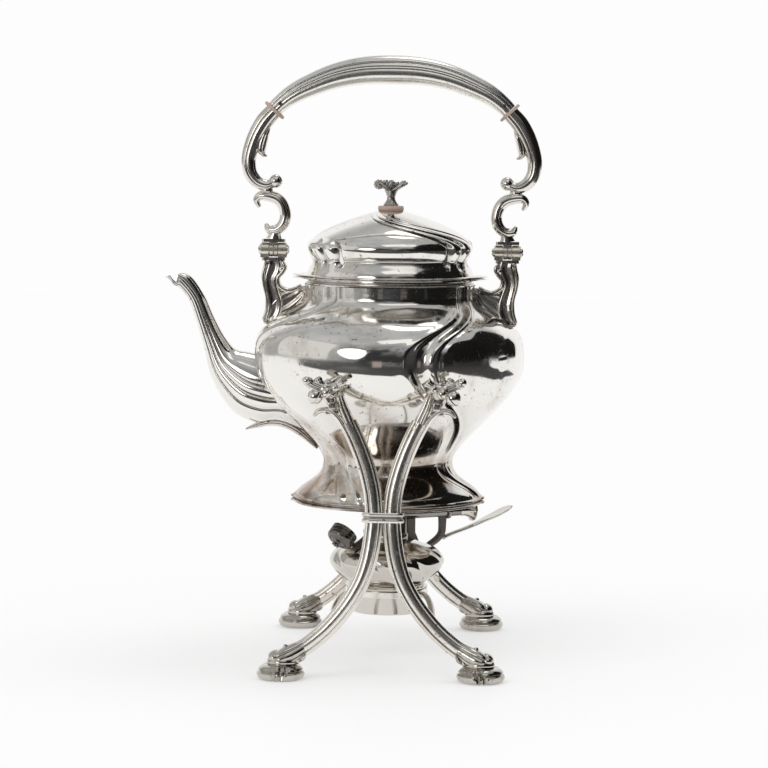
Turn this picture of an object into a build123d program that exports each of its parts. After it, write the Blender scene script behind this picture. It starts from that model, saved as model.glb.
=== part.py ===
"""A silver spirit kettle that swings on its stand over a wick burner.

Millimetres.  The origin is on the kettle's own axis, on the table.  +Z is up,
the spout points to -X, and the two leg frames stand at -Y (front) and +Y (back).
"""
from build123d import *
from math import atan2, cos, pi, radians, sin
import os

# ================================================================ driving sizes
# ---- kettle body: radii and the heights they are at
neck_radius = 51.8
neck_height = 222.0
mouth_height = 229.4
girth_radius = 82.6
girth_height = 184.0
waist_radius = 39.4
waist_height = 121.0
floor_height = 117.0
foot_radius = 56.4
foot_top_height = 99.0
foot_bottom_height = 94.6
foot_step_spread = 1.6
foot_step_thickness = 1.5
foot_step_gap = 1.4
foot_wall = 2.2
body_wall = 1.2
floor_thickness = 1.4
shoulder_lean = 1.85
belly_lean = 0.8
foot_lean = 1.4
body_levels = 19
foot_levels = 6

# ---- swirled panels of the body: ribbed seams wind from foot to neck
seam_turns = (0.0, 79.0, 180.0, 259.0)
samples_round = 180
seam_depth = 2.6
seam_half_angle = 8.0
rib_height = 1.6
rib_offset_angle = 3.4
rib_half_angle = 1.9
seam_at_neck = 64.0
seam_at_girth = 18.0
seam_at_waist = 62.0
seam_at_foot = 82.0
swirl_lean = 1.6

# ---- rim and lid
mouth_radius = 46.2
rim_plate = 1.6
rim_moulding = 3.2
flange_radius = 53.2
flange_tip = 60.2
flange_tip_angle = 34.0
lid_clearance = 0.35
lid_wall = 1.1
lid_flange = 1.4
bezel_depth = 9.0
bezel_wall = 1.0
lid_tuck_radius = 47.2
lid_tuck_rise = 10.5
lid_shoulder_radius = 50.3
lid_shoulder_rise = 18.0
lid_top_radius = 8.4
lid_rise = 40.4
lid_seam_turns = (0.0, 58.0, 180.0, 238.0)
lid_seam_top = -50.0
lid_seam_shoulder = 64.0
lid_dome = 1.75
lid_seam_relief = 0.7
dome_levels = 13
washer_radius = 8.0
washer_thickness = 3.2
finial_base_radius = 4.8
finial_stem_radius = 3.0
finial_half_width = 10.6
finial_height = 17.0
stud_radius = 1.6
nut_width = 7.0
nut_thickness = 3.0

# ---- spout
spout_wall = 1.2
spout_flutes = 8
flute_depth = 0.05
strainer_hole = 5.0
strainer_circle = 9.5
strainer_count = 6
keel_thickness = 7.0

# ---- swing handle
hinge_x = 72.0
hinge_height = 250.0
knuckle_radius = 4.4
knuckle_length = 16.2
knuckle_gap = 0.15
pin_radius = 1.6
running_clearance = 0.05
pin_head_radius = 3.2
pin_head_length = 1.6
plate_clearance = 0.35
plate_thickness = 1.9
plate_half_depth = 3.6
plate_width = 14.4
socket_thickness = 9.0
arm_half_depth = 4.6
ring_thickness = 1.9
ring_overlap = 1.5
rivet_radius = 1.1
rivet_height = 0.9

# ---- stand
foot_x = 59.2
foot_y = 96.5
pad_radius = 14.3
pad_height = 8.4
frame_top_y = 80.0
frame_top_height = 166.0
leg_half_depth = 3.6
leg_half_width = 5.3
band_height = 95.5
band_wall = 1.5
band_ring = 2.9
carrier_bore_clearance = 0.35
carrier_width = 3.2
carrier_thickness = 4.2
carrier_height = 41.6
seat_gap = 0.1

# ---- pivots between kettle and stand
pivot_x = 31.0
pivot_height = 161.5
pivot_radius = 2.3
saddle_clearance = 0.1
saddle_width = 9.4
saddle_drop = 5.2
saddle_rise = 1.6
lug_radius = 4.2
lug_gap = 0.4
berry_radius = 3.9
bead_radius = 2.3
twig_radius = 1.7

# ---- burner
reservoir_radius = 35.2
reservoir_height = 59.0
reservoir_top = 71.5
reservoir_wall = 1.0
reservoir_foot_radius = 22.6
burner_base_radius = 21.8
burner_base_bottom = 26.6
burner_moulding_radius = 25.4
burner_moulding = 2.6
collar_radius = 12.7
collar_top = 89.6
collar_wall = 1.0
wick_radius = 5.2
wick_clearance = 0.35
wick_tube_wall = 1.0
wick_top = 92.0
wick_bottom = 52.0
wheel_radius = 2.55
wheel_teeth = 10
wheel_width = 3.2
spindle_radius = 1.3
spindle_height = 85.0
handle_azimuth = 32.0
sleeve_radius = 3.2
sleeve_start = 14.5
sleeve_end = 57.0
knob_radius = 6.9
knob_length = 9.6
post_reach = 21.5
strap_reach = 44.8
lever_reach = 96.0
snuffer_azimuth = 225.0
snuffer_hinge_radius = 15.4
snuffer_hinge_height = 77.0
snuffer_open_angle = 135.0
snuffer_radius = 8.4
snuffer_wall = 0.9
snuffer_depth = 8.0
snuffer_pin_radius = 0.9

os.makedirs("parts", exist_ok=True)


# ================================================================ shared helpers
def ease(share, lean=1.0):
    """A smooth step from 0 to 1; lean above 1 holds it back, below 1 brings it forward."""
    return (1 - cos(pi * share**lean)) / 2


def between(low, high, share):
    return low + (high - low) * share


def steps(low, high, count):
    return [between(low, high, k / (count - 1)) for k in range(count)]


def write(piece, name):
    """Label a finished piece, or a placed copy of one, and write it to its own file."""
    part = piece.part if isinstance(piece, BuildPart) else piece
    part.label = name
    export_step(part, f"parts/{name}.step")


def station_plane(before, here, after):
    """A plane across a path in the XZ plane, with its x along +Y."""
    heading = Vector(after[0] - before[0], 0, after[1] - before[1]).normalized()
    return Plane(origin=(here[0], 0, here[1]), x_dir=(0, 1, 0), z_dir=heading)


def path_planes(stations):
    planes = []
    for k, here in enumerate(stations):
        before = stations[max(k - 1, 0)]
        after = stations[min(k + 1, len(stations) - 1)]
        planes.append(station_plane(before, here, after))
    return planes


def oval_bar(stations, half_depth):
    """A cast scroll: ovals lofted along (x, z, half width) stations in the XZ plane."""
    with BuildPart() as bar:
        for plane, (_, _, half_width) in zip(path_planes(stations), stations):
            with BuildSketch(plane):
                Ellipse(min(half_depth, 1.3 * half_width), half_width)
        loft()
    return bar.part


def bump(angle, half_angle):
    return 1 / (1 + (angle / half_angle) ** 4)


def seam_profile(angle, ribs=True):
    """How far the surface stands out from the panels at an angle from a seam."""
    raised = sum(bump(angle - side * rib_offset_angle, rib_half_angle) for side in (-1, 1))
    return (rib_height * raised if ribs else 0) - seam_depth * bump(angle, seam_half_angle)


def panelled_outline(radius, seam, relief, ribs=True, turns=seam_turns):
    """A closed spline round the axis: panels between seams; seam is in degrees from -Y."""
    angles = [360 * k / samples_round for k in range(samples_round)]
    points = []
    for angle in angles:
        offset = min(((angle - seam - turn + 180) % 360 - 180 for turn in turns), key=abs)
        reach = radius + relief * seam_profile(offset, ribs)
        heading = radians(angle - 90)
        points.append((reach * cos(heading), reach * sin(heading)))
    return Edge.make_spline(points, periodic=True, parameters=[*angles, 360])


def panelled_loft(stations, ribs=True, turns=seam_turns):
    """A solid through (height, radius, seam, relief) stations."""
    with BuildPart() as form:
        for height, radius, seam, relief in stations:
            with BuildSketch(Plane.XY.offset(height)):
                with BuildLine():
                    add(panelled_outline(radius, seam, relief, ribs, turns))
                make_face()
        loft()
    return form.part


# ================================================================ kettle body
def body_radius(height):
    """Radius of the panels between the foot and the mouth."""
    if height >= neck_height:
        return neck_radius
    if height >= girth_height:
        share = (height - girth_height) / (neck_height - girth_height)
        return between(girth_radius, neck_radius, ease(share, shoulder_lean))
    if height >= waist_height:
        share = (height - waist_height) / (girth_height - waist_height)
        return between(waist_radius, girth_radius, ease(share, belly_lean))
    share = min(1, (waist_height - height) / (waist_height - foot_top_height))
    return between(waist_radius, foot_radius, ease(share, foot_lean))


def seam_angle(height):
    """Where the seams stand at a height, in degrees from -Y towards +X."""
    if height >= girth_height:
        share = min(1, (height - girth_height) / (neck_height - girth_height))
        return between(seam_at_girth, seam_at_neck, ease(share, swirl_lean))
    if height >= waist_height:
        share = (height - waist_height) / (girth_height - waist_height)
        return between(seam_at_waist, seam_at_girth, ease(share))
    share = min(1, (waist_height - height) / (waist_height - foot_top_height))
    return between(seam_at_waist, seam_at_foot, ease(share))


def body_relief(height):
    """The seams are strongest at the girth and fade towards neck and waist."""
    return 0.35 + 0.65 * (body_radius(height) - waist_radius) / (girth_radius - waist_radius)


def body_stations(low, high, count, inset=0.0):
    return [(h, body_radius(h) - inset, seam_angle(h), body_relief(h))
            for h in steps(low, high, count)]


body_form = panelled_loft(body_stations(floor_height, mouth_height, body_levels))
body_hollow = panelled_loft(
    body_stations(floor_height + floor_thickness, mouth_height + body_wall, body_levels, body_wall),
    ribs=False)

spout_root_height = 162.0
with BuildPart() as kettle_body:
    add(body_form)
    add(body_hollow, mode=Mode.SUBTRACT)
    with BuildSketch(Plane.YZ.offset(-girth_radius * 0.6) * Location((0, spout_root_height))):
        Circle(strainer_hole / 2)
        with PolarLocations(strainer_circle, strainer_count):
            Circle(strainer_hole / 2)
    extrude(amount=-girth_radius, mode=Mode.SUBTRACT)
write(kettle_body, "kettle_body")

# ---- the flared foot, hollow from below, with a stepped edge
foot_relief = body_relief(foot_top_height)
step_low = foot_step_thickness + foot_step_gap
foot_steps = ((0.0, foot_step_spread, foot_step_thickness), (foot_step_thickness, 0.2, foot_step_gap),
              (step_low, foot_step_spread - 0.2, foot_top_height - foot_bottom_height - step_low))
with BuildPart() as kettle_foot:
    add(panelled_loft(body_stations(foot_top_height, floor_height, foot_levels)))
    for drop, spread, thick in foot_steps:
        with BuildSketch(Plane.XY.offset(foot_top_height - drop)):
            with BuildLine():
                add(panelled_outline(foot_radius + spread, seam_at_foot, foot_relief))
            make_face()
        extrude(amount=-thick)
    hollow = []
    for height in steps(foot_bottom_height - 1, floor_height - body_wall, foot_levels + 2):
        skin = max(height, foot_top_height)
        hollow.append((height, body_radius(skin) - foot_wall, seam_angle(skin), 0.3))
    add(panelled_loft(hollow, ribs=False), mode=Mode.SUBTRACT)
write(kettle_foot, "kettle_foot")


# ---- rim plate with two pointed tips over the handle sockets
def flange_face(plane):
    """A round plate drawn out to a hollow-sided point at -X and at +X."""
    radius = flange_radius
    tip = flange_tip
    spread = radians(flange_tip_angle)
    middle = radians(flange_tip_angle * 0.42)
    hollow = radius + (tip - radius) * 0.12
    with BuildSketch(plane) as face:
        with BuildLine():
            for turn in (0, pi):
                edge = [(radius, -spread), (hollow, -middle), (tip, 0), (hollow, middle),
                        (radius, spread)]
                spots = [(r * cos(turn + a), r * sin(turn + a)) for r, a in edge]
                ThreePointArc(*spots[:3])
                ThreePointArc(*spots[2:])
            for turn in (pi / 2, -pi / 2):
                half = pi / 2 - spread
                ThreePointArc(*[(radius * cos(turn + a), radius * sin(turn + a)) for a in (-half, 0,
                                                                                           half)])
        make_face()
    return face.sketch


rim_top = mouth_height + rim_moulding + rim_plate
with BuildPart() as kettle_rim:
    with BuildSketch(Plane.XZ):
        with BuildLine():
            low = mouth_height
            cove = neck_radius - 1.4
            Polyline((mouth_radius, low), (neck_radius, low), (neck_radius, low + 0.8),
                     (cove, low + 1.3),
                     (cove, low + 2.2), (neck_radius, low + rim_moulding),
                     (mouth_radius, low + rim_moulding),
                     close=True)
        make_face()
    revolve(axis=Axis.Z)
    add(flange_face(Plane.XY.offset(low + rim_moulding)))
    extrude(amount=rim_plate)
    with Locations((0, 0, rim_top)):
        Hole(mouth_radius, depth=2 * rim_plate)
write(kettle_rim, "kettle_rim")

# ================================================================ lid
lid_base = rim_top


def lid_shape(rise):
    """(radius, seam angle) of the lid's skin at a rise above its flange."""
    if rise <= lid_tuck_rise:
        radius = between(flange_radius - 1.8, lid_tuck_radius, ease(rise / lid_tuck_rise, 1.3))
    elif rise <= lid_shoulder_rise:
        share = (rise - lid_tuck_rise) / (lid_shoulder_rise - lid_tuck_rise)
        radius = between(lid_tuck_radius, lid_shoulder_radius, sin(share * pi / 2))
    else:
        share = (rise - lid_shoulder_rise) / (lid_rise - lid_shoulder_rise)
        radius = between(lid_shoulder_radius, lid_top_radius, share**lid_dome)
    inward = max(0, min(1, (lid_shoulder_radius - radius) / (lid_shoulder_radius - lid_top_radius)))
    seam = lid_seam_shoulder if rise <= lid_shoulder_rise else \
        between(lid_seam_shoulder, lid_seam_top, inward)
    return radius, seam


def lid_rises():
    """Levels of the lid, closer together towards the flat top where the seams turn fastest."""
    dome = [between(lid_shoulder_rise, lid_rise, share**0.75) for share in steps(0, 1, dome_levels)]
    return [*steps(0, lid_tuck_rise, 6), *steps(lid_tuck_rise, lid_shoulder_rise, 4)[1:], *dome[1:]]


def lid_stations():
    rows = []
    for rise in lid_rises():
        radius, seam = lid_shape(rise)
        relief = lid_seam_relief * min(1, radius / lid_shoulder_radius)
        rows.append((lid_base + rise, radius, seam, relief))
    return rows


lining_inset = lid_wall + lid_seam_relief * seam_depth
with BuildPart() as lid:
    add(panelled_loft(lid_stations(), turns=lid_seam_turns))
    add(flange_face(Plane.XY.offset(lid_base)))
    extrude(amount=lid_flange)
    with BuildSketch(Plane.XZ):
        with BuildLine():
            rises = steps(lid_flange, lid_rise, 9)
            drops = [lid_wall * 1.6 * ease(rise / lid_rise) for rise in rises]
            lining = Spline(*[(lid_shape(rise)[0] - lining_inset, lid_base + rise - drop)
                              for rise, drop in zip(rises, drops)])
            Polyline(lining @ 1, (0, (lining @ 1).Y), (0, (lining @ 0).Y), lining @ 0)
        make_face()
    revolve(axis=Axis.Z, mode=Mode.SUBTRACT)
    with BuildSketch(Plane.XY.offset(lid_base - lid_flange)):
        Circle(mouth_radius - lid_clearance)
    extrude(amount=3 * lid_flange, mode=Mode.SUBTRACT)
    with Locations((0, 0, lid_base + lid_rise)):
        Hole(stud_radius, depth=lid_tuck_rise)
write(lid, "lid")

with BuildPart() as lid_bezel:
    with BuildSketch(Plane.XY.offset(lid_base + lid_flange)):
        Circle(mouth_radius - lid_clearance)
        Circle(mouth_radius - lid_clearance - bezel_wall, mode=Mode.SUBTRACT)
    extrude(amount=-bezel_depth - lid_flange)
write(lid_bezel, "lid_bezel")

lid_top = lid_base + lid_rise
with BuildPart() as finial_washer:
    with BuildSketch(Plane.XZ):
        with BuildLine():
            washer_top = lid_top + washer_thickness
            washer_flat = washer_radius - 0.6
            Polyline((stud_radius, lid_top), (washer_flat, lid_top))
            ThreePointArc((washer_flat, lid_top), (washer_radius, lid_top + washer_thickness / 2),
                          (washer_flat, washer_top))
            Polyline((washer_flat, washer_top), (stud_radius, washer_top), (stud_radius, lid_top))
        make_face()
    revolve(axis=Axis.Z)
write(finial_washer, "finial_washer")

finial_base = lid_top + washer_thickness
# lift, half length, half thickness and turn of each oval up the opening leaf
finial_leaves = ((6.2, 3.4, 2.6, -40), (9.2, 7.6, 3.2, -20), (12.6, finial_half_width, 3.0, 8),
                 (finial_height, finial_half_width * 0.72, 1.6, 40))
with BuildPart() as finial:
    with BuildSketch(Plane.XZ):
        with BuildLine():
            Polyline((0, finial_base), (finial_base_radius, finial_base))
            Spline((finial_base_radius, finial_base), (finial_base_radius * 0.82, finial_base + 2.6),
                   (finial_stem_radius, finial_base + 4.6), (finial_stem_radius * 1.1, finial_base + 7))
            Polyline((finial_stem_radius * 1.1, finial_base + 7), (0, finial_base + 7),
                     (0, finial_base))
        make_face()
    revolve(axis=Axis.Z)
    for lift, half, thin, turn in finial_leaves:
        with BuildSketch(Plane.XY.offset(finial_base + lift)):
            Ellipse(half, thin, rotation=turn)
    loft()
write(finial, "finial")

nut_top = lid_top - lid_wall * 2.6
with BuildPart() as finial_stud:
    with BuildSketch(Plane.XY.offset(finial_base)):
        Circle(stud_radius)
    extrude(amount=nut_top - nut_thickness - 1.2 - finial_base)
write(finial_stud, "finial_stud")

with BuildPart() as finial_nut:
    with BuildSketch(Plane.XY.offset(nut_top - nut_thickness)):
        RegularPolygon(nut_width / 2, 6, major_radius=False)
        Circle(stud_radius, mode=Mode.SUBTRACT)
    extrude(amount=nut_thickness)
write(finial_nut, "finial_nut")

# ================================================================ spout
# each row: underside (x, z), topside (x, z), half breadth; from inside the body to the lip
spout_rows = [
    ((-40.0, 130.5), (-30.0, 158.0), 14.0),
    ((-54.0, 138.4), (-40.0, 170.0), 16.5),
    ((-68.5, 143.6), (-52.0, 179.5), 18.0),
    ((-82.5, 143.0), (-64.5, 184.2), 17.2),
    ((-95.2, 148.5), (-77.5, 185.2), 15.5),
    ((-104.6, 160.2), (-88.2, 186.8), 12.5),
    ((-110.9, 173.1), (-95.5, 188.6), 9.6),
    ((-114.1, 186.1), (-102.4, 196.9), 7.6),
    ((-119.2, 203.4), (-108.7, 208.5), 6.0),
    ((-124.8, 218.9), (-114.3, 220.9), 5.4),
    ((-133.6, 228.6), (-121.8, 231.9), 5.3),
    ((-139.6, 232.4), (-127.4, 235.0), 5.4),
]
spout_samples = 64


def spout_section(row, inset=0.0, flute=0.0, slide=0.0):
    """One oval of the spout; inset shrinks it, slide moves it along the spout."""
    under, top, half_breadth = row
    chord = Vector(top[0] - under[0], 0, top[1] - under[1])
    along = Vector(-chord.Z, 0, chord.X).normalized()
    middle = Vector((under[0] + top[0]) / 2, 0, (under[1] + top[1]) / 2) + along * slide
    with BuildSketch(Plane(origin=middle, x_dir=chord.normalized(), z_dir=along)) as oval:
        with BuildLine():
            turns = [360 * k / spout_samples for k in range(spout_samples)]
            points = []
            for turn in turns:
                swell = 1 + flute * cos(radians(spout_flutes * turn))
                points.append(((chord.length / 2 - inset) * swell * cos(radians(turn)),
                               (half_breadth - inset) * swell * sin(radians(turn))))
            add(Edge.make_spline(points, periodic=True, parameters=[*turns, 360]))
        make_face()
    return oval.sketch


with BuildPart() as spout_form:
    loft([spout_section(row, flute=flute_depth) for row in spout_rows])

with BuildPart() as spout_channel:
    loft([spout_section(spout_rows[0], inset=spout_wall * 1.4, slide=-2.0),
          *[spout_section(row, inset=spout_wall * 1.4) for row in spout_rows[1:-1]],
          spout_section(spout_rows[-1], inset=spout_wall * 0.8, slide=1)])

with BuildPart() as spout:
    add(spout_form.part)
    add(body_form, mode=Mode.SUBTRACT)
    add(spout_channel.part, mode=Mode.SUBTRACT)
write(spout, "spout")

with BuildPart() as spout_leaf:
    with BuildSketch(Plane.XZ) as leaf_face:
        with BuildLine():
            keel_edge = Spline((-88.6, 138.0), (-76.0, 141.2), (-64.0, 139.8), (-53.5, 134.3),
                               (-43.5, 126.6))
            Polyline(keel_edge @ 1, (-39.0, 134.0), (-55.0, 150.0), (-80.0, 150.0), keel_edge @ 0)
        make_face()
    extrude(amount=keel_thickness / 2, both=True)
    add(spout_form.part, mode=Mode.SUBTRACT)
    add(body_form, mode=Mode.SUBTRACT)
write(spout_leaf, "spout_leaf")


# ================================================================ handle sockets and hinges
plate_gap = knuckle_radius + plate_clearance
socket_plate_top = hinge_height - plate_gap
socket_top = socket_plate_top - plate_thickness
third = knuckle_length / 3
mirror_side = Plane.YZ


def knuckle(offset, length, reach, bore):
    """One knuckle on the hinge line with a web running up (+) or down (-) to its plate."""
    with BuildPart() as barrel:
        with BuildSketch(Plane.YZ.offset(hinge_x + offset - length / 2)):
            with Locations((0, hinge_height)):
                Circle(knuckle_radius)
            with Locations((0, hinge_height + reach / 2)):
                Rectangle(2 * plate_half_depth, abs(reach))
            with Locations((0, hinge_height)):
                Circle(bore, mode=Mode.SUBTRACT)
        extrude(amount=length)
    return barrel.part


with BuildPart() as socket:
    with BuildSketch(Plane.XZ):
        with BuildLine():
            inner = Spline((66.2, socket_top), (64.6, 239.6), (66.4, 236.2), (69.2, 233.0),
                           (68.2, 227.6),
                           (63.2, 224.6), (58.6, 225.6), (54.9, 228.2))
            lower = Spline((50.6, 224.4), (53.0, 219.0), (56.4, 213.6), (63.5, 207.0), (71.5, 204.4),
                           (77.8, 204.4))
            outer = Spline((78.9, 207.2), (76.6, 213.0), (76.4, 220.3), (78.6, 228.4), (78.9, 235.0),
                           (76.8, 240.5), (77.2, socket_top))
            Line(inner @ 1, lower @ 0)
            Line(lower @ 1, outer @ 0)
            Line(outer @ 1, inner @ 0)
        make_face()
    extrude(amount=socket_thickness / 2, both=True)
    with Locations(Location((66.9, 0, 238.0), (90, 0, 0))):
        Cylinder(3.0, socket_thickness + 1.2)
    add(body_form, mode=Mode.SUBTRACT)
    add(kettle_rim.part, mode=Mode.SUBTRACT)
    with BuildSketch(Plane.XY.offset(socket_top)):
        with Locations((hinge_x, 0)):
            RectangleRounded(plate_width, 2 * plate_half_depth, 1.2)
    extrude(amount=plate_thickness)
write(socket, "handle_socket_heel")
write(Rot(0, 0, 180) * socket.part, "handle_socket_spout")

with BuildPart() as fixed_knuckles:
    for side in (-1, 1):
        add(knuckle(side * third, third - knuckle_gap, -plate_gap, pin_radius))
write(fixed_knuckles, "fixed_knuckles_heel")
write(mirror(fixed_knuckles.part, about=mirror_side), "fixed_knuckles_spout")

with BuildPart() as hinge_pin:
    inner_end = knuckle_length / 2 - knuckle_gap / 2
    outer_end = inner_end + pin_head_length
    crown_radius = pin_head_radius * 0.6
    with BuildSketch(Plane(origin=(hinge_x, 0, hinge_height), x_dir=(1, 0, 0), z_dir=(0, -1, 0))):
        with BuildLine():
            Polyline((-outer_end, 0), (-outer_end, crown_radius),
                     (-inner_end - pin_head_length * 0.4, pin_head_radius),
                     (-inner_end, pin_head_radius), (-inner_end, pin_radius), (inner_end, pin_radius),
                     (inner_end, pin_head_radius), (inner_end + pin_head_length * 0.4, pin_head_radius),
                     (outer_end, crown_radius), (outer_end, 0), close=True)
        make_face()
    revolve(axis=Axis((0, 0, hinge_height), (1, 0, 0)))
write(hinge_pin, "hinge_pin_heel")
write(mirror(hinge_pin.part, about=mirror_side), "hinge_pin_spout")

# ================================================================ swing handle
# (x, z, half width) along each cast arm, from the insulating ring to the inward scroll
bow_rows = [(72.9, 334.9, 5.3), (78.2, 329.0, 5.5), (82.2, 322.6, 5.3), (85.0, 316.6, 5.0),
            (87.4, 309.0, 4.7),
            (88.0, 303.6, 4.5), (87.0, 297.6, 4.3), (84.3, 293.2, 4.1), (80.6, 290.4, 3.8),
            (76.4, 289.6, 3.4),
            (72.6, 291.0, 2.9)]
scroll_rows = [(81.4, 276.6, 1.4), (83.0, 280.2, 2.2), (80.4, 283.0, 3.0), (75.6, 283.0, 3.5),
               (70.4, 281.4, 3.7),
               (66.8, 277.8, 3.6), (65.0, 271.8, 3.6), (65.7, 267.2, 3.6), (68.0, 263.7, 3.5),
               (71.6, 261.9, 3.2),
               (75.2, 262.4, 2.6), (76.8, 265.2, 1.4)]
bow_ball = (71.2, 292.1, 4.3)
arm_plate = hinge_height + plate_gap
with BuildPart() as arm:
    add(oval_bar(bow_rows, arm_half_depth))
    add(oval_bar(scroll_rows, arm_half_depth))
    with Locations((bow_ball[0], 0, bow_ball[1])):
        Sphere(bow_ball[2])
    with Locations((76.6, 0, 286.4)):
        Sphere(3.0)
    with BuildSketch(Plane.XY.offset(arm_plate)):
        with Locations((hinge_x, 0)):
            RectangleRounded(plate_width, 2 * plate_half_depth, 1.2)
    extrude(amount=plate_thickness)
    with BuildSketch(Plane.XY.offset(arm_plate + plate_thickness)):
        with Locations((hinge_x, 0)):
            Ellipse(5.4, plate_half_depth)
    with BuildSketch(Plane.XY.offset(262.0)):
        with Locations((hinge_x - 0.6, 0)):
            Ellipse(3.6, 3.0)
    loft()
write(arm, "handle_arm_heel")
write(mirror(arm.part, about=mirror_side), "handle_arm_spout")

with BuildPart() as swing_knuckle:
    add(knuckle(0, third - knuckle_gap, plate_gap, pin_radius + running_clearance))
write(swing_knuckle, "swing_knuckle_heel")
write(mirror(swing_knuckle.part, about=mirror_side), "swing_knuckle_spout")

ring_heading = Vector(bow_rows[0][0] - bow_rows[1][0], 0, bow_rows[0][1] - bow_rows[1][1]).normalized()
arm_end = Vector(bow_rows[0][0], 0, bow_rows[0][1])
grip_start = arm_end + ring_heading * ring_thickness
grip_second = grip_start + ring_heading * 4.5
with BuildPart() as ring:
    with BuildSketch(Plane(origin=arm_end, x_dir=(0, 1, 0), z_dir=ring_heading)):
        Ellipse(arm_half_depth + 2 * ring_overlap, bow_rows[0][2] + 1.5 * ring_overlap)
    extrude(amount=ring_thickness)
    fillet(ring.edges().filter_by(GeomType.ELLIPSE), ring_thickness * 0.35)
write(ring, "insulating_ring_heel")
write(mirror(ring.part, about=mirror_side), "insulating_ring_spout")


def reeded_section(plane, half_width, half_depth):
    """Three reeds side by side across the plane's local y, divided by two grooves."""
    with BuildSketch(plane) as section:
        for side in (-1, 0, 1):
            with Locations((0, side * half_width * 0.59)):
                Ellipse(half_depth if side == 0 else half_depth * 0.94, half_width * 0.41)
    return section.sketch


# (x, z, half width, half depth) from one ring up to the crown of the grip
half_grip = [(grip_start.X, grip_start.Z, 5.2, 5.0), (grip_second.X, grip_second.Z, 5.5, 5.2),
             (62.0, 344.9, 6.1, 5.7), (53.0, 349.8, 6.8, 6.3), (36.2, 356.5, 7.8, 7.1),
             (18.8, 360.2, 8.5, 7.7)]
crown = [(0.0, 361.1, 8.9, 8.0)]
grip_rows = half_grip + crown + [(-x, z, w, d) for x, z, w, d in reversed(half_grip)]
rivet_places = [Location((side * grip_second.X, 0, grip_second.Z), (90, 0, 0)) for side in (-1, 1)]
with BuildPart() as grip:
    loft([reeded_section(plane, row[2], row[3]) for plane,
          row in zip(path_planes(grip_rows), grip_rows)])
    with Locations(*rivet_places):
        Cylinder(rivet_radius, 40, mode=Mode.SUBTRACT)
write(grip, "handle_grip")

with BuildPart() as grip_rivets:
    with Locations(*rivet_places):
        Cylinder(rivet_radius, 2 * (half_grip[1][3] + rivet_height))
write(grip_rivets, "grip_rivets")

# ================================================================ stand
lean = atan2(foot_y - frame_top_y, frame_top_height)
frame_up = Vector(0, sin(lean), cos(lean))
frame_front = Vector(0, -cos(lean), sin(lean))


def frame_depth(height):
    """How far in front of the axis the leaning front frame is at a height."""
    return foot_y - height * sin(lean) / cos(lean)


def frame_planes(rows):
    """Planes across an (x, z, ...) path that lies in the leaning front frame."""
    spots = [Vector(row[0], -frame_depth(row[1]), row[1]) for row in rows]
    planes = []
    for k, spot in enumerate(spots):
        heading = (spots[min(k + 1, len(spots) - 1)] - spots[max(k - 1, 0)]).normalized()
        planes.append(Plane(origin=spot, x_dir=frame_front, z_dir=heading))
    return planes


leg_rows = [(50.5, 15.8), (42.6, 20.6), (31.6, 30.2), (20.8, 43.2), (13.0, 56.6), (8.6, 69.4),
            (6.3, 82.4),
            (leg_half_width + 0.05, band_height), (6.2, 108.4), (8.9, 120.6), (12.6, 131.9),
            (16.9, 142.2),
            (21.4, 151.2)]
inner_strand_rows = [(18.9, 147.6, 3.2), (21.9, 154.4, 3.2), (24.6, 160.6, 3.0), (26.4, 166.2, 2.4)]
outer_strand_rows = [(23.0, 147.0, 1.9), (26.8, 153.4, 1.9), (31.2, 157.4, 1.9), (35.4, 158.7, 1.8),
                     (39.2, 157.8, 1.6),
                     (41.4, 155.6, 1.1)]
with BuildPart() as leg:
    loft([reeded_section(plane, leg_half_width, leg_half_depth) for plane in frame_planes(leg_rows)])
    for rows in (inner_strand_rows, outer_strand_rows):
        for plane, row in zip(frame_planes(rows), rows):
            with BuildSketch(plane):
                Ellipse(leg_half_depth * (1 if row[2] > 2 else 0.9), row[2])
        loft()
    with Locations((pivot_x, -frame_depth(pivot_height),
                    pivot_height + (saddle_rise - saddle_drop) / 2)):
        Box(saddle_width, 2 * leg_half_depth, saddle_rise + saddle_drop)
    notch = pivot_radius + saddle_clearance
    with BuildSketch(Plane.XZ.offset(foot_y)):
        with Locations((pivot_x, pivot_height)):
            Circle(notch)
        with BuildLine():
            Polyline((pivot_x - notch, pivot_height), (pivot_x + notch, pivot_height),
                     (pivot_x + notch + 2.0, pivot_height + 14),
                     (pivot_x - notch - 2.0, pivot_height + 14), close=True)
        make_face()
    extrude(amount=-foot_y / 2, mode=Mode.SUBTRACT)


def four_corners(part):
    """The front heel-side part and its copies at the stand's other three corners."""
    return {"front_heel": part, "front_spout": mirror(part, about=Plane.YZ),
            "back_heel": mirror(part, about=Plane.XZ), "back_spout": Rot(0, 0, 180) * part}


legs = four_corners(leg.part)
for corner, part in legs.items():
    write(part, f"leg_{corner}")

band_slot_x = 2 * leg_half_width + 0.35
band_slot_y = leg_half_depth + 0.05
with BuildPart() as band:
    for step in (-1, 1):
        level = band_height + step * (band_ring / 2 + 0.3)
        with BuildSketch(Plane(origin=(0, -frame_depth(level), level), x_dir=(1, 0, 0),
                               z_dir=frame_up)):
            SlotOverall(2 * (band_slot_x + band_wall), 2 * (band_slot_y + band_wall))
            SlotOverall(2 * band_slot_x, 2 * band_slot_y, mode=Mode.SUBTRACT)
        extrude(amount=band_ring / 2, both=True)
    with BuildSketch(Plane(origin=(0, -frame_depth(band_height), band_height), x_dir=(1, 0, 0),
                           z_dir=frame_up)):
        SlotOverall(2 * (band_slot_x + band_wall * 0.5), 2 * (band_slot_y + band_wall * 0.5))
        SlotOverall(2 * band_slot_x, 2 * band_slot_y, mode=Mode.SUBTRACT)
    extrude(amount=band_ring, both=True)
write(band, "leg_band_front")
write(mirror(band.part, about=Plane.XZ), "leg_band_back")

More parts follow.
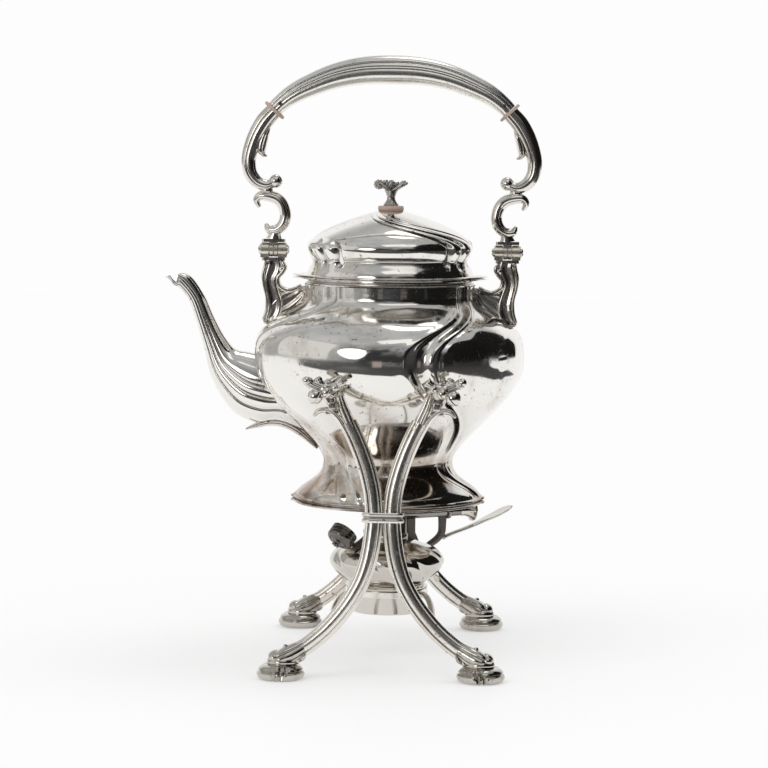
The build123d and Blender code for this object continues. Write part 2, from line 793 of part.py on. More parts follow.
cuff_rows = [(50.5, 15.8, 5.6, 4.3), (54.2, 13.6, 6.2, 6.2), (58.6, 11.6, 6.0, 8.2),
             (63.2, 10.2, 4.6, 8.0),
             (67.0, 9.4, 2.6, 5.0)]
with BuildPart() as pad:
    with BuildSketch(Plane.XZ):
        with BuildLine():
            Polyline((0, 0), (pad_radius - 2.6, 0))
            ThreePointArc((pad_radius - 2.6, 0), (pad_radius, pad_height * 0.42),
                          (pad_radius - 3.4, pad_height))
            Polyline((pad_radius - 3.4, pad_height), (0, pad_height), (0, 0))
        make_face()
    revolve(axis=Axis.Z)
pad_part = Pos(foot_x, -foot_y, 0) * pad.part
with BuildPart() as cuff:
    for plane, row in zip(frame_planes(cuff_rows), cuff_rows):
        with BuildSketch(plane):
            Ellipse(row[3], row[2])
    loft()
    add(pad_part, mode=Mode.SUBTRACT)
    add(leg.part, mode=Mode.SUBTRACT)
    split(bisect_by=Plane.XY.offset(pad_height), keep=Keep.TOP)
for corner, placed in four_corners(pad_part).items():
    write(placed, f"foot_pad_{corner}")
with BuildPart() as foot_cuffs:
    for placed in four_corners(cuff.part).values():
        add(placed)
write(foot_cuffs, "foot_cuffs")

carrier_bore = burner_base_radius + carrier_bore_clearance
with BuildPart() as carrier:
    with BuildSketch(Plane.XY.offset(carrier_height)):
        Circle(carrier_bore + carrier_width)
        Circle(carrier_bore, mode=Mode.SUBTRACT)
    extrude(amount=-carrier_thickness)
    arm_root = carrier_bore + carrier_width / 2
    root_height = carrier_height - carrier_thickness / 2
    for side_x in (-1, 1):
        for side_y in (-1, 1):
            with BuildLine() as arm_line:
                Spline((side_x * arm_root * 0.71, side_y * arm_root * 0.71, root_height),
                       (side_x * 24.5, side_y * 42.0, root_height + 3.2),
                       (side_x * 28.8, side_y * 68.0, root_height + 0.6),
                       (side_x * 30.4, side_y * 91.0, 33.0))
            with BuildSketch(Plane(origin=arm_line.line @ 0, z_dir=arm_line.line % 0)):
                Circle(1.9)
            sweep()
    Hole(carrier_bore)
    for part in legs.values():
        add(part, mode=Mode.SUBTRACT)
write(carrier, "burner_carrier")

# ================================================================ pivots: lugs on the kettle, pins in saddles
frame_outside = frame_depth(pivot_height) + leg_half_depth
ear_face = frame_depth(pivot_height) - leg_half_depth - lug_gap
boss_x = pivot_x + 4.5
boss_height = pivot_height + 9.5
knot_depth = frame_outside + lug_gap + twig_radius
berry_depth = frame_outside + lug_gap + berry_radius
pin_root_depth = ear_face - 6.2
head_size = 4.4
head_length = 2.0
berry_spot = (pivot_x + 9.8, pivot_height + 5.1)
bead_spot = (pivot_x + 3.4, pivot_height + 8.5)
small_bead_spot = (pivot_x - 0.8, pivot_height + 11.1)
twig_ends = [(pivot_x + 16.3, pivot_height + 14.5), (pivot_x - 7.0, pivot_height + 15.1),
             (pivot_x + 9.6, pivot_height + 17.5)]


boss_side = atan2(boss_height - pivot_height, boss_x - pivot_x) + pi / 2
side_x = cos(boss_side) * lug_radius
side_z = sin(boss_side) * lug_radius


def twig(start, end, way):
    """A round twig between two (x, z) spots in the knot's own layer."""
    first = Vector(way * start[0], -knot_depth, start[1])
    last = Vector(way * end[0], -knot_depth, end[1])
    with BuildPart() as stick:
        with BuildSketch(Plane(origin=first, z_dir=last - first)):
            Circle(twig_radius)
        with BuildSketch(Plane(origin=last, z_dir=last - first)):
            Circle(twig_radius * 0.8)
        loft()
    return stick.part


def pivot_lug(bore, way):
    """Ear behind the front frame, boss over its fork and a knot of twigs and berries; way is 1 for +X."""
    with BuildPart() as lug:
        with BuildSketch(Plane.XZ.offset(ear_face)):
            with BuildLine():
                Polyline((way * (pivot_x + side_x), pivot_height + side_z),
                         (way * (boss_x + side_x), boss_height + side_z),
                         (way * (boss_x - side_x), boss_height - side_z),
                         (way * (pivot_x - side_x), pivot_height - side_z), close=True)
            make_face()
            with Locations((way * pivot_x, pivot_height), (way * boss_x, boss_height)):
                Circle(lug_radius)
        extrude(amount=-ear_face / 5)
        with BuildSketch(Plane.XZ.offset(ear_face)):
            with Locations((way * boss_x, boss_height)):
                Circle(lug_radius * 0.85)
        extrude(amount=knot_depth - ear_face)
        with Locations((way * boss_x, -knot_depth, boss_height)):
            Sphere(lug_radius * 0.85)
        with Locations((way * berry_spot[0], -berry_depth, berry_spot[1])):
            Sphere(berry_radius)
        with Locations((way * bead_spot[0], -berry_depth, bead_spot[1]),
                       (way * small_bead_spot[0], -knot_depth, small_bead_spot[1])):
            Sphere(bead_radius)
        for end in twig_ends:
            add(twig((boss_x, boss_height), end, way))
        with Locations(Location((way * pivot_x, -(ear_face + pin_root_depth) / 2, pivot_height),
                                (90, 0, 0))):
            Cylinder(bore, ear_face - pin_root_depth, mode=Mode.SUBTRACT)
    return lug.part


def pivot_pin(end_gap):
    """A pin through the fork with a square head on its outer end."""
    with BuildPart() as pin:
        with BuildSketch(Plane.XZ.offset(pin_root_depth + end_gap)):
            with Locations((pivot_x, pivot_height)):
                Circle(pivot_radius)
        extrude(amount=frame_outside + lug_gap * 0.5 - pin_root_depth - end_gap)
        with BuildSketch(Plane.XZ.offset(frame_outside + lug_gap * 0.5)):
            with Locations((pivot_x, pivot_height)):
                RectangleRounded(head_size, head_size, 0.6)
        extrude(amount=head_length)
    return pin.part


for side, looseness, end_gap in (("heel", 0.0, 0.0), ("spout", running_clearance, lug_gap)):
    way = 1 if side == "heel" else -1
    bore = pivot_radius + looseness
    # the back lug is the front one of the other side, turned half round
    lugs = {"front": pivot_lug(bore, way), "back": Rot(0, 0, 180) * pivot_lug(bore, -way)}
    pins = four_corners(pivot_pin(end_gap))
    for face in ("front", "back"):
        write(pins[f"{face}_{side}"], f"pivot_pin_{face}_{side}")
        with BuildPart() as fitted_lug:
            add(lugs[face])
            add(body_form, mode=Mode.SUBTRACT)
        write(fitted_lug, f"pivot_lug_{face}_{side}")

# ================================================================ burner
seat = carrier_height + seat_gap
with BuildPart() as burner_base:
    with BuildSketch(Plane.XZ):
        with BuildLine():
            Polyline((0, burner_base_bottom), (burner_base_radius - 0.6, burner_base_bottom),
                     (burner_base_radius, burner_base_bottom + 0.6), (burner_base_radius, seat),
                     (burner_moulding_radius - 0.8, seat), (burner_moulding_radius, seat + 0.8),
                     (burner_moulding_radius, seat + burner_moulding - 0.8),
                     (burner_moulding_radius - 0.8, seat + burner_moulding),
                     (reservoir_foot_radius, seat + burner_moulding),
                     (reservoir_foot_radius - 1.2, seat + burner_moulding),
                     (reservoir_foot_radius - 1.2, burner_base_bottom + 1.2),
                     (0, burner_base_bottom + 1.2), close=True)
        make_face()
    revolve(axis=Axis.Z)
write(burner_base, "burner_base")

tank_bottom = seat + burner_moulding
tank_rows = [(tank_bottom, reservoir_foot_radius), (tank_bottom + 3.0, reservoir_radius * 0.76),
             (reservoir_height - 6.0, reservoir_radius * 0.94), (reservoir_height, reservoir_radius),
             (reservoir_top - 6.4, reservoir_radius * 0.885),
             (reservoir_top - 2.2, reservoir_radius * 0.6),
             (reservoir_top, collar_radius)]
with BuildPart() as tank_form:
    with BuildSketch(Plane.XZ):
        with BuildLine():
            skin = Spline(*[(r, h) for h, r in tank_rows])
            Polyline(skin @ 1, (0, reservoir_top), (0, tank_bottom), skin @ 0)
        make_face()
    revolve(axis=Axis.Z)
with BuildPart() as burner_tank:
    add(tank_form.part)
    with BuildSketch(Plane.XZ):
        with BuildLine():
            lining = [(r - reservoir_wall * 1.6, h) for h, r in tank_rows[1:-2]]
            Polyline((0, tank_bottom + reservoir_wall),
                     (reservoir_foot_radius, tank_bottom + reservoir_wall), *lining,
                     (collar_radius, reservoir_top - reservoir_wall * 2),
                     (0, reservoir_top - reservoir_wall * 2),
                     close=True)
        make_face()
    revolve(axis=Axis.Z, mode=Mode.SUBTRACT)
    with Locations((0, 0, reservoir_top)):
        Hole(collar_radius - 2 * collar_wall, depth=3 * reservoir_wall)
write(burner_tank, "burner_tank")

tube_inner = wick_radius + wick_clearance
tube_outer = tube_inner + wick_tube_wall
wheel_offset = wick_radius + wick_clearance + wheel_radius
handle_turn = Rot(0, 0, handle_azimuth)
web_height = spindle_height - wheel_radius - 5.0
with BuildPart() as collar:
    with BuildSketch(Plane.XZ):
        with BuildLine():
            Polyline((collar_radius - collar_wall, reservoir_top), (collar_radius, reservoir_top),
                     (collar_radius, reservoir_top + 3.4), (collar_radius - 0.9, reservoir_top + 4.4),
                     (collar_radius - 0.9, spindle_height + 1.4), (collar_radius - 3.4, collar_top),
                     (tube_outer, collar_top), (tube_outer, collar_top - collar_wall),
                     (collar_radius - 4.2, collar_top - collar_wall),
                     (collar_radius - 0.9 - collar_wall, spindle_height + 1.0),
                     (collar_radius - 0.9 - collar_wall, web_height + collar_wall),
                     (tube_outer, web_height + collar_wall),
                     (tube_outer, web_height), (collar_radius - 0.9 - collar_wall, web_height),
                     (collar_radius - collar_wall, reservoir_top + 3.4), close=True)
        make_face()
    revolve(axis=Axis.Z)
    with Locations(handle_turn * Location((collar_radius, wheel_offset, spindle_height), (0, 90, 0))):
        Cylinder(spindle_radius + running_clearance, 2 * collar_radius - 4, mode=Mode.SUBTRACT)
write(collar, "burner_collar")

with BuildPart() as wick_tube:
    with BuildSketch(Plane.XY.offset(reservoir_top - 16)):
        Circle(tube_outer)
        Circle(tube_inner, mode=Mode.SUBTRACT)
    extrude(amount=collar_top + 0.8 - (reservoir_top - 16))
    with Locations(handle_turn * Location((0, tube_outer, spindle_height))):
        Box(wheel_width + 1.2, 2 * tube_outer - 2, 2 * wheel_radius + 1.4, mode=Mode.SUBTRACT)
write(wick_tube, "wick_tube")

with BuildPart() as wick:
    with BuildSketch(Plane.XY.offset(wick_bottom)):
        Circle(wick_radius)
    extrude(amount=wick_top - wick_bottom)
write(wick, "wick")

# ---- wick wheel, spindle and trumpet knob turn together
knob_start = sleeve_end + running_clearance + 0.25
spindle_end = knob_start + knob_length
with BuildPart() as wick_wheel:
    with BuildSketch(Plane.YZ.offset(-wheel_width / 2)):
        Circle(wheel_radius - 0.55)
        with PolarLocations(wheel_radius - 0.75, wheel_teeth):
            Polygon((0, -0.5), (0.75, -0.08), (0.75, 0.08), (0, 0.5), align=None)
        Circle(spindle_radius, mode=Mode.SUBTRACT)
    extrude(amount=wheel_width)
with BuildPart() as spindle:
    with BuildSketch(Plane.YZ.offset(-wheel_width / 2 - 1.0)):
        Circle(spindle_radius)
    extrude(amount=spindle_end - 2.0 + wheel_width / 2 + 1.0)
with BuildPart() as knob:
    with BuildSketch(Plane.XY):
        with BuildLine():
            flare = Spline((knob_start, 3.0), (knob_start + knob_length * 0.45, 3.5),
                           (spindle_end - 2.0, knob_radius * 0.8),
                           (spindle_end - 1.0, knob_radius))
            Polyline(flare @ 1, (spindle_end, knob_radius), (spindle_end, 0), (spindle_end - 2.0, 0),
                     (spindle_end - 2.0, spindle_radius), (knob_start, spindle_radius), flare @ 0)
        make_face()
    revolve(axis=Axis.X)
spindle_line = handle_turn * Location((0, wheel_offset, spindle_height))
for piece, name in ((wick_wheel, "wick_wheel"), (spindle, "wick_spindle"), (knob, "wick_knob")):
    write(spindle_line * piece.part, name)

# ---- fixed sleeve round the spindle, its post and the burner's carrying handle
with BuildPart() as sleeve:
    with BuildSketch(Plane.YZ.offset(sleeve_start)):
        Circle(sleeve_radius)
        Circle(spindle_radius + running_clearance, mode=Mode.SUBTRACT)
    extrude(amount=sleeve_end - sleeve_start)
    with BuildSketch(Plane.YZ.offset(strap_reach + 3.2)):
        Circle(sleeve_radius + 1.4)
        Circle(sleeve_radius, mode=Mode.SUBTRACT)
    extrude(amount=2.4)
write(spindle_line * sleeve.part, "spindle_sleeve")

with BuildPart() as post:
    with Locations((post_reach, wheel_offset, (spindle_height + reservoir_top - 6) / 2)):
        Box(6.4, 3.2, spindle_height - reservoir_top + 6)
    with Locations(Location((post_reach, wheel_offset, spindle_height), (0, 90, 0))):
        Cylinder(sleeve_radius, 12, mode=Mode.SUBTRACT)
    add(tank_form.part, mode=Mode.SUBTRACT)
    with Locations((0, 0, reservoir_top - 6)):
        Cylinder(collar_radius, 40, mode=Mode.SUBTRACT)
write(handle_turn * post.part, "spindle_post")

elbow = reservoir_top - 2.0
with BuildPart() as strap:
    with BuildSketch(Plane.XZ.offset(-wheel_offset)):
        with BuildLine():
            Polyline((strap_reach - 2.9, spindle_height - 1), (strap_reach + 2.9, spindle_height - 1),
                     (strap_reach + 2.4, elbow + 0.6), (strap_reach - 2.4, elbow - 2.6),
                     (30.0, 59.6), (27.0, 61.4),
                     (29.6, 63.4), (strap_reach - 2.2, elbow + 1.8), close=True)
        make_face()
    extrude(amount=1.5, both=True)
    with Locations(Location((strap_reach, wheel_offset, spindle_height), (0, 90, 0))):
        Cylinder(sleeve_radius, 12, mode=Mode.SUBTRACT)
    add(tank_form.part, mode=Mode.SUBTRACT)
write(handle_turn * strap.part, "handle_strap")

lever_rows = [(strap_reach + 0.6, elbow - 0.9, 1.5, 2.0), (strap_reach + 7.0, elbow + 1.2, 1.2, 2.0),
              (62.0, elbow + 4.0, 1.1, 2.6), (74.0, elbow + 7.8, 1.1, 3.8),
              (84.0, elbow + 10.8, 1.1, 5.2),
              (92.0, elbow + 14.2, 1.0, 5.0), (lever_reach, elbow + 16.6, 0.6, 2.4)]
with BuildPart() as lever:
    for plane, row in zip(path_planes(lever_rows), lever_rows):
        with BuildSketch(plane):
            Ellipse(row[3], row[2])
    loft()
    with Locations((strap_reach, 0, elbow)):
        Box(2 * 2.4, 3.0, 8, mode=Mode.SUBTRACT)
write(handle_turn * Pos(0, wheel_offset, 0) * lever.part, "lifting_lever")

# ---- snuffer: a knobbed cap that swings over the wick
snuffer_turn = Rot(0, 0, snuffer_azimuth)
cap_seat = collar_top + 0.3
with BuildPart() as snuffer:
    with BuildSketch(Plane.XZ):
        with BuildLine():
            top = cap_seat + snuffer_depth
            Polyline((snuffer_radius, cap_seat), (snuffer_radius, top - 1.4),
                     (snuffer_radius - 1.4, top),
                     (snuffer_radius * 0.5, top), (snuffer_radius * 0.5, top + 0.7),
                     (1.2, top + 0.7), (1.0, top + 2.0),
                     (2.0, top + 3.0), (1.4, top + 4.2), (0, top + 4.4), (0, top - snuffer_wall),
                     (snuffer_radius - 1.8, top - snuffer_wall),
                     (snuffer_radius - snuffer_wall, top - 2.0),
                     (snuffer_radius - snuffer_wall, cap_seat), close=True)
        make_face()
    revolve(axis=Axis.Z)
    with BuildSketch(Plane.XZ) as hinge_arm:
        with BuildLine():
            Polyline((snuffer_radius - 0.4, cap_seat + 1.0), (snuffer_radius - 0.4, cap_seat + 3.4),
                     (snuffer_hinge_radius - 0.8, cap_seat - 1.0),
                     (snuffer_hinge_radius + 1.4, snuffer_hinge_height),
                     (snuffer_hinge_radius - 1.4, snuffer_hinge_height),
                     (snuffer_hinge_radius - 2.6, cap_seat - 2.2),
                     close=True)
        make_face()
        with Locations((snuffer_hinge_radius, snuffer_hinge_height)):
            Circle(1.9)
    extrude(amount=1.1, both=True)
    with Locations(Location((snuffer_hinge_radius, 0, snuffer_hinge_height), (90, 0, 0))):
        Cylinder(snuffer_pin_radius + running_clearance, 10, mode=Mode.SUBTRACT)
hinge_axis = Axis((snuffer_hinge_radius, 0, snuffer_hinge_height), (0, 1, 0))
snuffer_open = snuffer.part.rotate(hinge_axis, snuffer_open_angle)
write(snuffer_turn * snuffer_open, "snuffer_cap")

with BuildPart() as snuffer_ears:
    for side in (-1, 1):
        with BuildSketch(Plane.XZ.offset(side * 2.2)):
            with Locations((snuffer_hinge_radius, snuffer_hinge_height)):
                Circle(1.9)
            with Locations(((snuffer_hinge_radius + collar_radius - 1.2) / 2,
                            snuffer_hinge_height - 0.2)):
                Rectangle(snuffer_hinge_radius - collar_radius + 1.2, 2.6)
            with Locations((snuffer_hinge_radius, snuffer_hinge_height)):
                Circle(snuffer_pin_radius, mode=Mode.SUBTRACT)
        extrude(amount=0.9, both=True)
    with Locations((0, 0, reservoir_top)):
        Cylinder(collar_radius - 0.9, 40, mode=Mode.SUBTRACT)
write(snuffer_turn * snuffer_ears.part, "snuffer_ears")

with BuildPart() as snuffer_pin:
    with Locations(Location((snuffer_hinge_radius, 0, snuffer_hinge_height), (90, 0, 0))):
        Cylinder(snuffer_pin_radius, 6.6)
write(snuffer_turn * snuffer_pin.part, "snuffer_pin")
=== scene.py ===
"""Looks of a silver spirit kettle that swings on its stand over a wick burner.

Every mesh is built in millimetres in the part's own frame: the kettle's axis is
the Z axis, the table is z = 0, the spout points to -X and the front is -Y.
"""

import logging
import math
from dataclasses import dataclass, field
from enum import Enum
from typing import Callable, Iterable, Optional, Sequence, Union

import bmesh
import bpy
import numpy as np
from mathutils import Matrix, Vector

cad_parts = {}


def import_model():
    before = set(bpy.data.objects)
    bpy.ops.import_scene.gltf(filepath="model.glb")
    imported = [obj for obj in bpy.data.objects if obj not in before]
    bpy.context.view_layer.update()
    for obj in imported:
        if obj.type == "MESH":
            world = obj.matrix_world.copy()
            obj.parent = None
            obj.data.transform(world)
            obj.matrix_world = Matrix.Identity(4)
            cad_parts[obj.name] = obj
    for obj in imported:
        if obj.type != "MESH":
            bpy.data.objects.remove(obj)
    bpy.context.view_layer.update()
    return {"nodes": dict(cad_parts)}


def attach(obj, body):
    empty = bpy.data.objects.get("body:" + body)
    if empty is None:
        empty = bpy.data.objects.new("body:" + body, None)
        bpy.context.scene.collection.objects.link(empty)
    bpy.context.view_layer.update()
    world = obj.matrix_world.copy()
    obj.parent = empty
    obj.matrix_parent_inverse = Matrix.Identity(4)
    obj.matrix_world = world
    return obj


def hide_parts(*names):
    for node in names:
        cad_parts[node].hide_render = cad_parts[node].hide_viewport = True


LOG = logging.getLogger("kettle")
MM = 0.001

Number = Union[int, float]
Point = Sequence[float]
Triple = tuple[float, float, float]
Warp = Callable[[Vector], Vector]


class Slot(str, Enum):
    """Material slots named in the part's record."""

    SILVER = "polished_silver"
    BURNER = "burner_silver"
    DARK = "oxidised_metal"
    RING = "insulator"
    WICK = "cotton_wick"


class Body(str, Enum):
    """Bodies of the part that the pieces ride on."""

    STAND = "stand"
    PINS = "pivot_pins"
    KETTLE = "kettle"
    LID = "lid"
    HANDLE = "handle"
    BURNER = "burner"
    DRIVE = "wick_drive"
    WICK = "wick"
    SNUFFER = "snuffer"


class Side(Enum):
    """The two ends of the kettle: heel is +X, spout is -X."""

    HEEL = 1
    SPOUT = -1


class Face(Enum):
    """The two leg frames: front is -Y, back is +Y."""

    FRONT = -1
    BACK = 1


# ---------------------------------------------------------------- small maths
def ease(share: float, lean: float = 1.0) -> float:
    """A smooth step from 0 to 1.

    Args:
        share: How far along, from 0 to 1.
        lean: Above 1 holds the step back, below 1 brings it forward.

    Returns:
        The eased share.
    """
    return (1 - math.cos(math.pi * min(1.0, max(0.0, share)) ** lean)) / 2


def between(low: float, high: float, share: float) -> float:
    """Mix two numbers.

    Args:
        low: Value at share 0.
        high: Value at share 1.
        share: How far from low to high.

    Returns:
        The mixed value.
    """
    return low + (high - low) * share


def steps(low: float, high: float, count: int) -> list[float]:
    """Evenly spaced numbers, both ends included.

    Args:
        low: First number.
        high: Last number.
        count: How many numbers.

    Returns:
        The numbers.
    """
    return [between(low, high, k / (count - 1)) for k in range(count)]


def bump(offset: float, half: float) -> float:
    """A rounded bump of height 1.

    Args:
        offset: Distance from the middle of the bump.
        half: Distance at which it has fallen to a half.

    Returns:
        The height there.
    """
    return 1 / (1 + (offset / half) ** 4)


def waves(offset: float, rows: Sequence[Triple]) -> float:
    """Sum of rounded bumps.

    Args:
        offset: Where it is asked for.
        rows: (height, middle, half width) of each bump.

    Returns:
        The height there.
    """
    return sum(height * bump(offset - middle, half) for height, middle, half in rows)


def turn_gap(turn: float, other: float) -> float:
    """How far one direction is past another.

    Args:
        turn: Direction in degrees.
        other: The other direction in degrees.

    Returns:
        Degrees, from -180 to 180.
    """
    return (turn - other + 180) % 360 - 180


def smooth_rows(rows: Sequence[Point], parts: int) -> list[tuple[float, ...]]:
    """Run a Catmull-Rom curve through rows of numbers.

    Args:
        rows: Rows of equal length, such as (x, z, half width).
        parts: Pieces that each span is cut into.

    Returns:
        The rows with the ones between them filled in.
    """
    out: list[tuple[float, ...]] = []
    last = len(rows) - 1
    for k in range(last):
        p1, p2 = rows[k], rows[k + 1]
        p0 = rows[k - 1] if k else tuple(2 * a - b for a, b in zip(p1, p2))
        p3 = rows[k + 2] if k + 2 <= last else tuple(2 * b - a for a, b in zip(p1, p2))
        for j in range(parts):
            t = j / parts
            out.append(tuple(
                0.5 * (2 * b + (c - a) * t + (2 * a - 5 * b + 4 * c - d) * t * t
                       + (3 * b - a - 3 * c + d) * t ** 3)
                for a, b, c, d in zip(p0, p1, p2, p3)))
    out.append(tuple(float(v) for v in rows[-1]))
    return out


# ---------------------------------------------------------------- shader nodes
class Wire:
    """An output socket of a shader node that can be used in sums."""

    def __init__(self, tree: "Tree", socket: bpy.types.NodeSocket) -> None:
        """Wrap a socket.

        Args:
            tree: Node tree that the socket is in.
            socket: The output socket.
        """
        self.tree = tree
        self.socket = socket

    def _math(self, operation: str, *values: Union["Wire", Number], clamp: bool = False) -> "Wire":
        """Add a Math node.

        Args:
            operation: Name of the Math node's operation.
            values: Inputs in order.
            clamp: Whether the result is kept from 0 to 1.

        Returns:
            The node's output.
        """
        inputs = dict(enumerate(values))
        return self.tree.node("ShaderNodeMath", {"operation": operation, "use_clamp": clamp}, inputs)

    def __add__(self, other: Union["Wire", Number]) -> "Wire":
        """Sum with another value."""
        return self._math("ADD", self, other)

    __radd__ = __add__

    def __rsub__(self, other: Number) -> "Wire":
        """Take this value away from a number."""
        return self._math("SUBTRACT", other, self)

    def __mul__(self, other: Union["Wire", Number]) -> "Wire":
        """Multiply by another value."""
        return self._math("MULTIPLY", self, other)

    def clamped(self) -> "Wire":
        """Keep the value from 0 to 1.

        Returns:
            The kept value.
        """
        return self._math("ADD", self, 0.0, clamp=True)

    def step(self, low: float, high: float) -> "Wire":
        """A soft threshold.

        Args:
            low: Value that gives 0.
            high: Value that gives 1.

        Returns:
            A smooth step between the two.
        """
        return self.tree.node("ShaderNodeMapRange", {"interpolation_type": "SMOOTHSTEP", "clamp": True},
                              {"Value": self, "From Min": low, "From Max": high}, output="Result")

    def __getitem__(self, name: str) -> "Wire":
        """Another output of the same node, by name."""
        return Wire(self.tree, self.socket.node.outputs[name])


class Tree:
    """A node tree that is filled from nothing."""

    def __init__(self, owner: Union[bpy.types.Material, bpy.types.World]) -> None:
        """Clear the owner's nodes.

        Args:
            owner: Material or world whose nodes are made.
        """
        owner.use_nodes = True
        self.nodes = owner.node_tree.nodes
        self.links = owner.node_tree.links
        self.nodes.clear()

    def node(self, kind: str, settings: Optional[dict] = None, inputs: Optional[dict] = None,
             output: Union[int, str] = 0) -> Wire:
        """Make a node, set it and join it up.

        Args:
            kind: Blender's name of the node type.
            settings: Attributes of the node.
            inputs: Sockets by name or number, each with a number, colour or Wire.
            output: Which output to give back.

        Returns:
            The chosen output of the node.
        """
        made = self.nodes.new(kind)
        for key, value in (settings or {}).items():
            setattr(made, key, value)
        for key, value in (inputs or {}).items():
            socket = made.inputs[key]
            if isinstance(value, Wire):
                self.links.new(value.socket, socket)
            else:
                socket.default_value = value
        return Wire(self, made.outputs[output]) if made.outputs else Wire(self, None)

    def colour_mix(self, share: Union[Wire, float], first: Union[Wire, tuple],
                   second: Union[Wire, tuple]) -> Wire:
        """Mix two colours.

        Args:
            share: 0 gives the first and 1 the second.
            first: First colour.
            second: Second colour.

        Returns:
            The mixed colour.
        """
        mixed = self.nodes.new("ShaderNodeMix")
        mixed.data_type = "RGBA"
        for index, value in ((0, share), (6, first), (7, second)):
            if isinstance(value, Wire):
                self.links.new(value.socket, mixed.inputs[index])
            else:
                mixed.inputs[index].default_value = value
        return Wire(self, mixed.outputs[2])

    def noise(self, scale: float, detail: float = 2.0, roughness: float = 0.5,
              stretch: Optional[Triple] = None) -> Wire:
        """Cloudy noise on object coordinates.

        Args:
            scale: Clouds per metre.
            detail: Octaves.
            roughness: Strength of the finer octaves.
            stretch: Scale along each axis, or None.

        Returns:
            The noise, about 0.5.
        """
        where = self.node("ShaderNodeTexCoord", output="Object")
        if stretch:
            where = self.node("ShaderNodeMapping", inputs={"Vector": where, "Scale": stretch})
        return self.node("ShaderNodeTexNoise", None,
                         {"Vector": where, "Scale": scale, "Detail": detail, "Roughness": roughness})

    def principled(self, **inputs: Union[Wire, float, tuple]) -> Wire:
        """The surface shader, joined to the output.

        Args:
            inputs: Sockets, with underscores for spaces.

        Returns:
            The shader's output.
        """
        named = {key.replace("_", " "): value for key, value in inputs.items()}
        shader = self.node("ShaderNodeBsdfPrincipled", None, named)
        self.node("ShaderNodeOutputMaterial", None, {"Surface": shader})
        return shader


Colour = tuple[float, float, float, float]


@dataclass(frozen=True)
class Finish:
    """A procedural finish. Colours are linear."""

    name: str
    slot: Slot
    colour: Colour
    # Colour of the hollows: tarnish there, and painted shade standing in for occlusion.
    recess_patina_and_shade_colour: Colour
    metallic: float = 1.0
    roughness: float = 0.1
    recess_roughness: float = 0.4
    tarnish: float = 0.3
    tarnish_colour: Colour = (0.36, 0.27, 0.2, 1.0)
    spots: float = 0.5
    ripple: float = 0.02
    # Strength of the mottled darkening towards the bottom, below the low_band heights.
    low_tarnish: float = 0.0
    low_band: tuple[float, float] = (0.1, 0.165)
    speck_colour: Colour = (0.09, 0.06, 0.045, 1.0)
    groove_attribute: str = "groove"

    def material(self) -> bpy.types.Material:
        """Build the finish once and keep it.

        Returns:
            The material.
        """
        known = bpy.data.materials.get(self.name)
        if known:
            return known
        made = bpy.data.materials.new(self.name)
        tree = Tree(made)
        groove = tree.node("ShaderNodeAttribute", {"attribute_name": self.groove_attribute}, output="Fac")
        cloud = tree.noise(28.0, 5.0, 0.62)
        fine = tree.noise(420.0, 3.0, 0.6)
        where = tree.node("ShaderNodeTexCoord", output="Object")
        height = tree.node("ShaderNodeSeparateXYZ", None, {"Vector": where}, output="Z")
        # Mottled darkening towards the bottom, below the low_band heights, mixed towards the tarnish colour.
        low = (1.0 - height.step(*self.low_band)) * cloud.step(0.34, 0.6) * self.low_tarnish
        veil = (cloud.step(0.5, 0.72) * self.tarnish + low).clamped()
        speck = fine.step(0.62, 0.68) * cloud.step(0.42, 0.58) * self.spots
        # Hollows darkened towards the recess colour: real tarnish in the hollows, and painted shade standing
        # in for ambient occlusion.
        hollow_patina_and_shade = (groove * (0.8 + cloud * 0.35)).clamped()
        base = tree.colour_mix(veil, self.colour, self.tarnish_colour)
        base = tree.colour_mix(hollow_patina_and_shade, base, self.recess_patina_and_shade_colour)
        base = tree.colour_mix(speck, base, self.speck_colour)
        rough = (self.roughness + cloud.step(0.4, 0.75) * 0.08 + hollow_patina_and_shade * self.recess_roughness
                 + speck * 0.4 + fine.step(0.5, 0.7) * 0.03)
        wave = tree.noise(34.0, 1.5, 0.4)
        scratch = tree.noise(160.0, 4.0, 0.65, stretch=(1.0, 1.0, 4.0))
        swell = tree.node("ShaderNodeBump", None, {"Height": wave, "Strength": self.ripple, "Distance": 0.01})
        normal = tree.node("ShaderNodeBump", None, {"Height": scratch, "Strength": self.ripple * 0.6,
                                                    "Distance": 0.0006, "Normal": swell})
        tree.principled(Base_Color=base, Metallic=self.metallic, Roughness=rough.clamped(), Normal=normal)
        return made


SILVER = Finish("kettle_silver", Slot.SILVER, (0.88, 0.86, 0.82, 1.0), (0.11, 0.08, 0.06, 1.0),
                roughness=0.07, tarnish=0.42, spots=0.8, low_tarnish=0.75)
KNUCKLE_SILVER = Finish("knuckle_silver", Slot.SILVER, (0.84, 0.79, 0.69, 1.0), (0.1, 0.08, 0.06, 1.0),
                        roughness=0.26, tarnish=0.3)
KNOT_SILVER = Finish("knot_silver", Slot.SILVER, (0.76, 0.73, 0.68, 1.0), (0.03, 0.024, 0.02, 1.0),
                     roughness=0.11, tarnish=0.5, tarnish_colour=(0.2, 0.15, 0.11, 1.0))
GRIP_SILVER = Finish("grip_silver", Slot.SILVER, (0.9, 0.88, 0.83, 1.0), (0.2, 0.16, 0.13, 1.0),
                     roughness=0.2, recess_roughness=0.2, tarnish=0.2)
STAND_SILVER = Finish("stand_silver", Slot.SILVER, (0.87, 0.84, 0.78, 1.0), (0.07, 0.055, 0.045, 1.0),
                      roughness=0.2, tarnish=0.4, tarnish_colour=(0.46, 0.36, 0.27, 1.0), spots=0.8)
BURNER_SILVER = Finish("burner_silver", Slot.BURNER, (0.74, 0.72, 0.68, 1.0), (0.05, 0.04, 0.035, 1.0),
                       roughness=0.17, tarnish=0.5)
DARK_METAL = Finish("oxidised_metal", Slot.DARK, (0.012, 0.012, 0.012, 1.0), (0.004, 0.004, 0.004, 1.0),
                    metallic=0.85, roughness=0.16, tarnish=0.4, tarnish_colour=(0.02, 0.018, 0.017, 1.0))
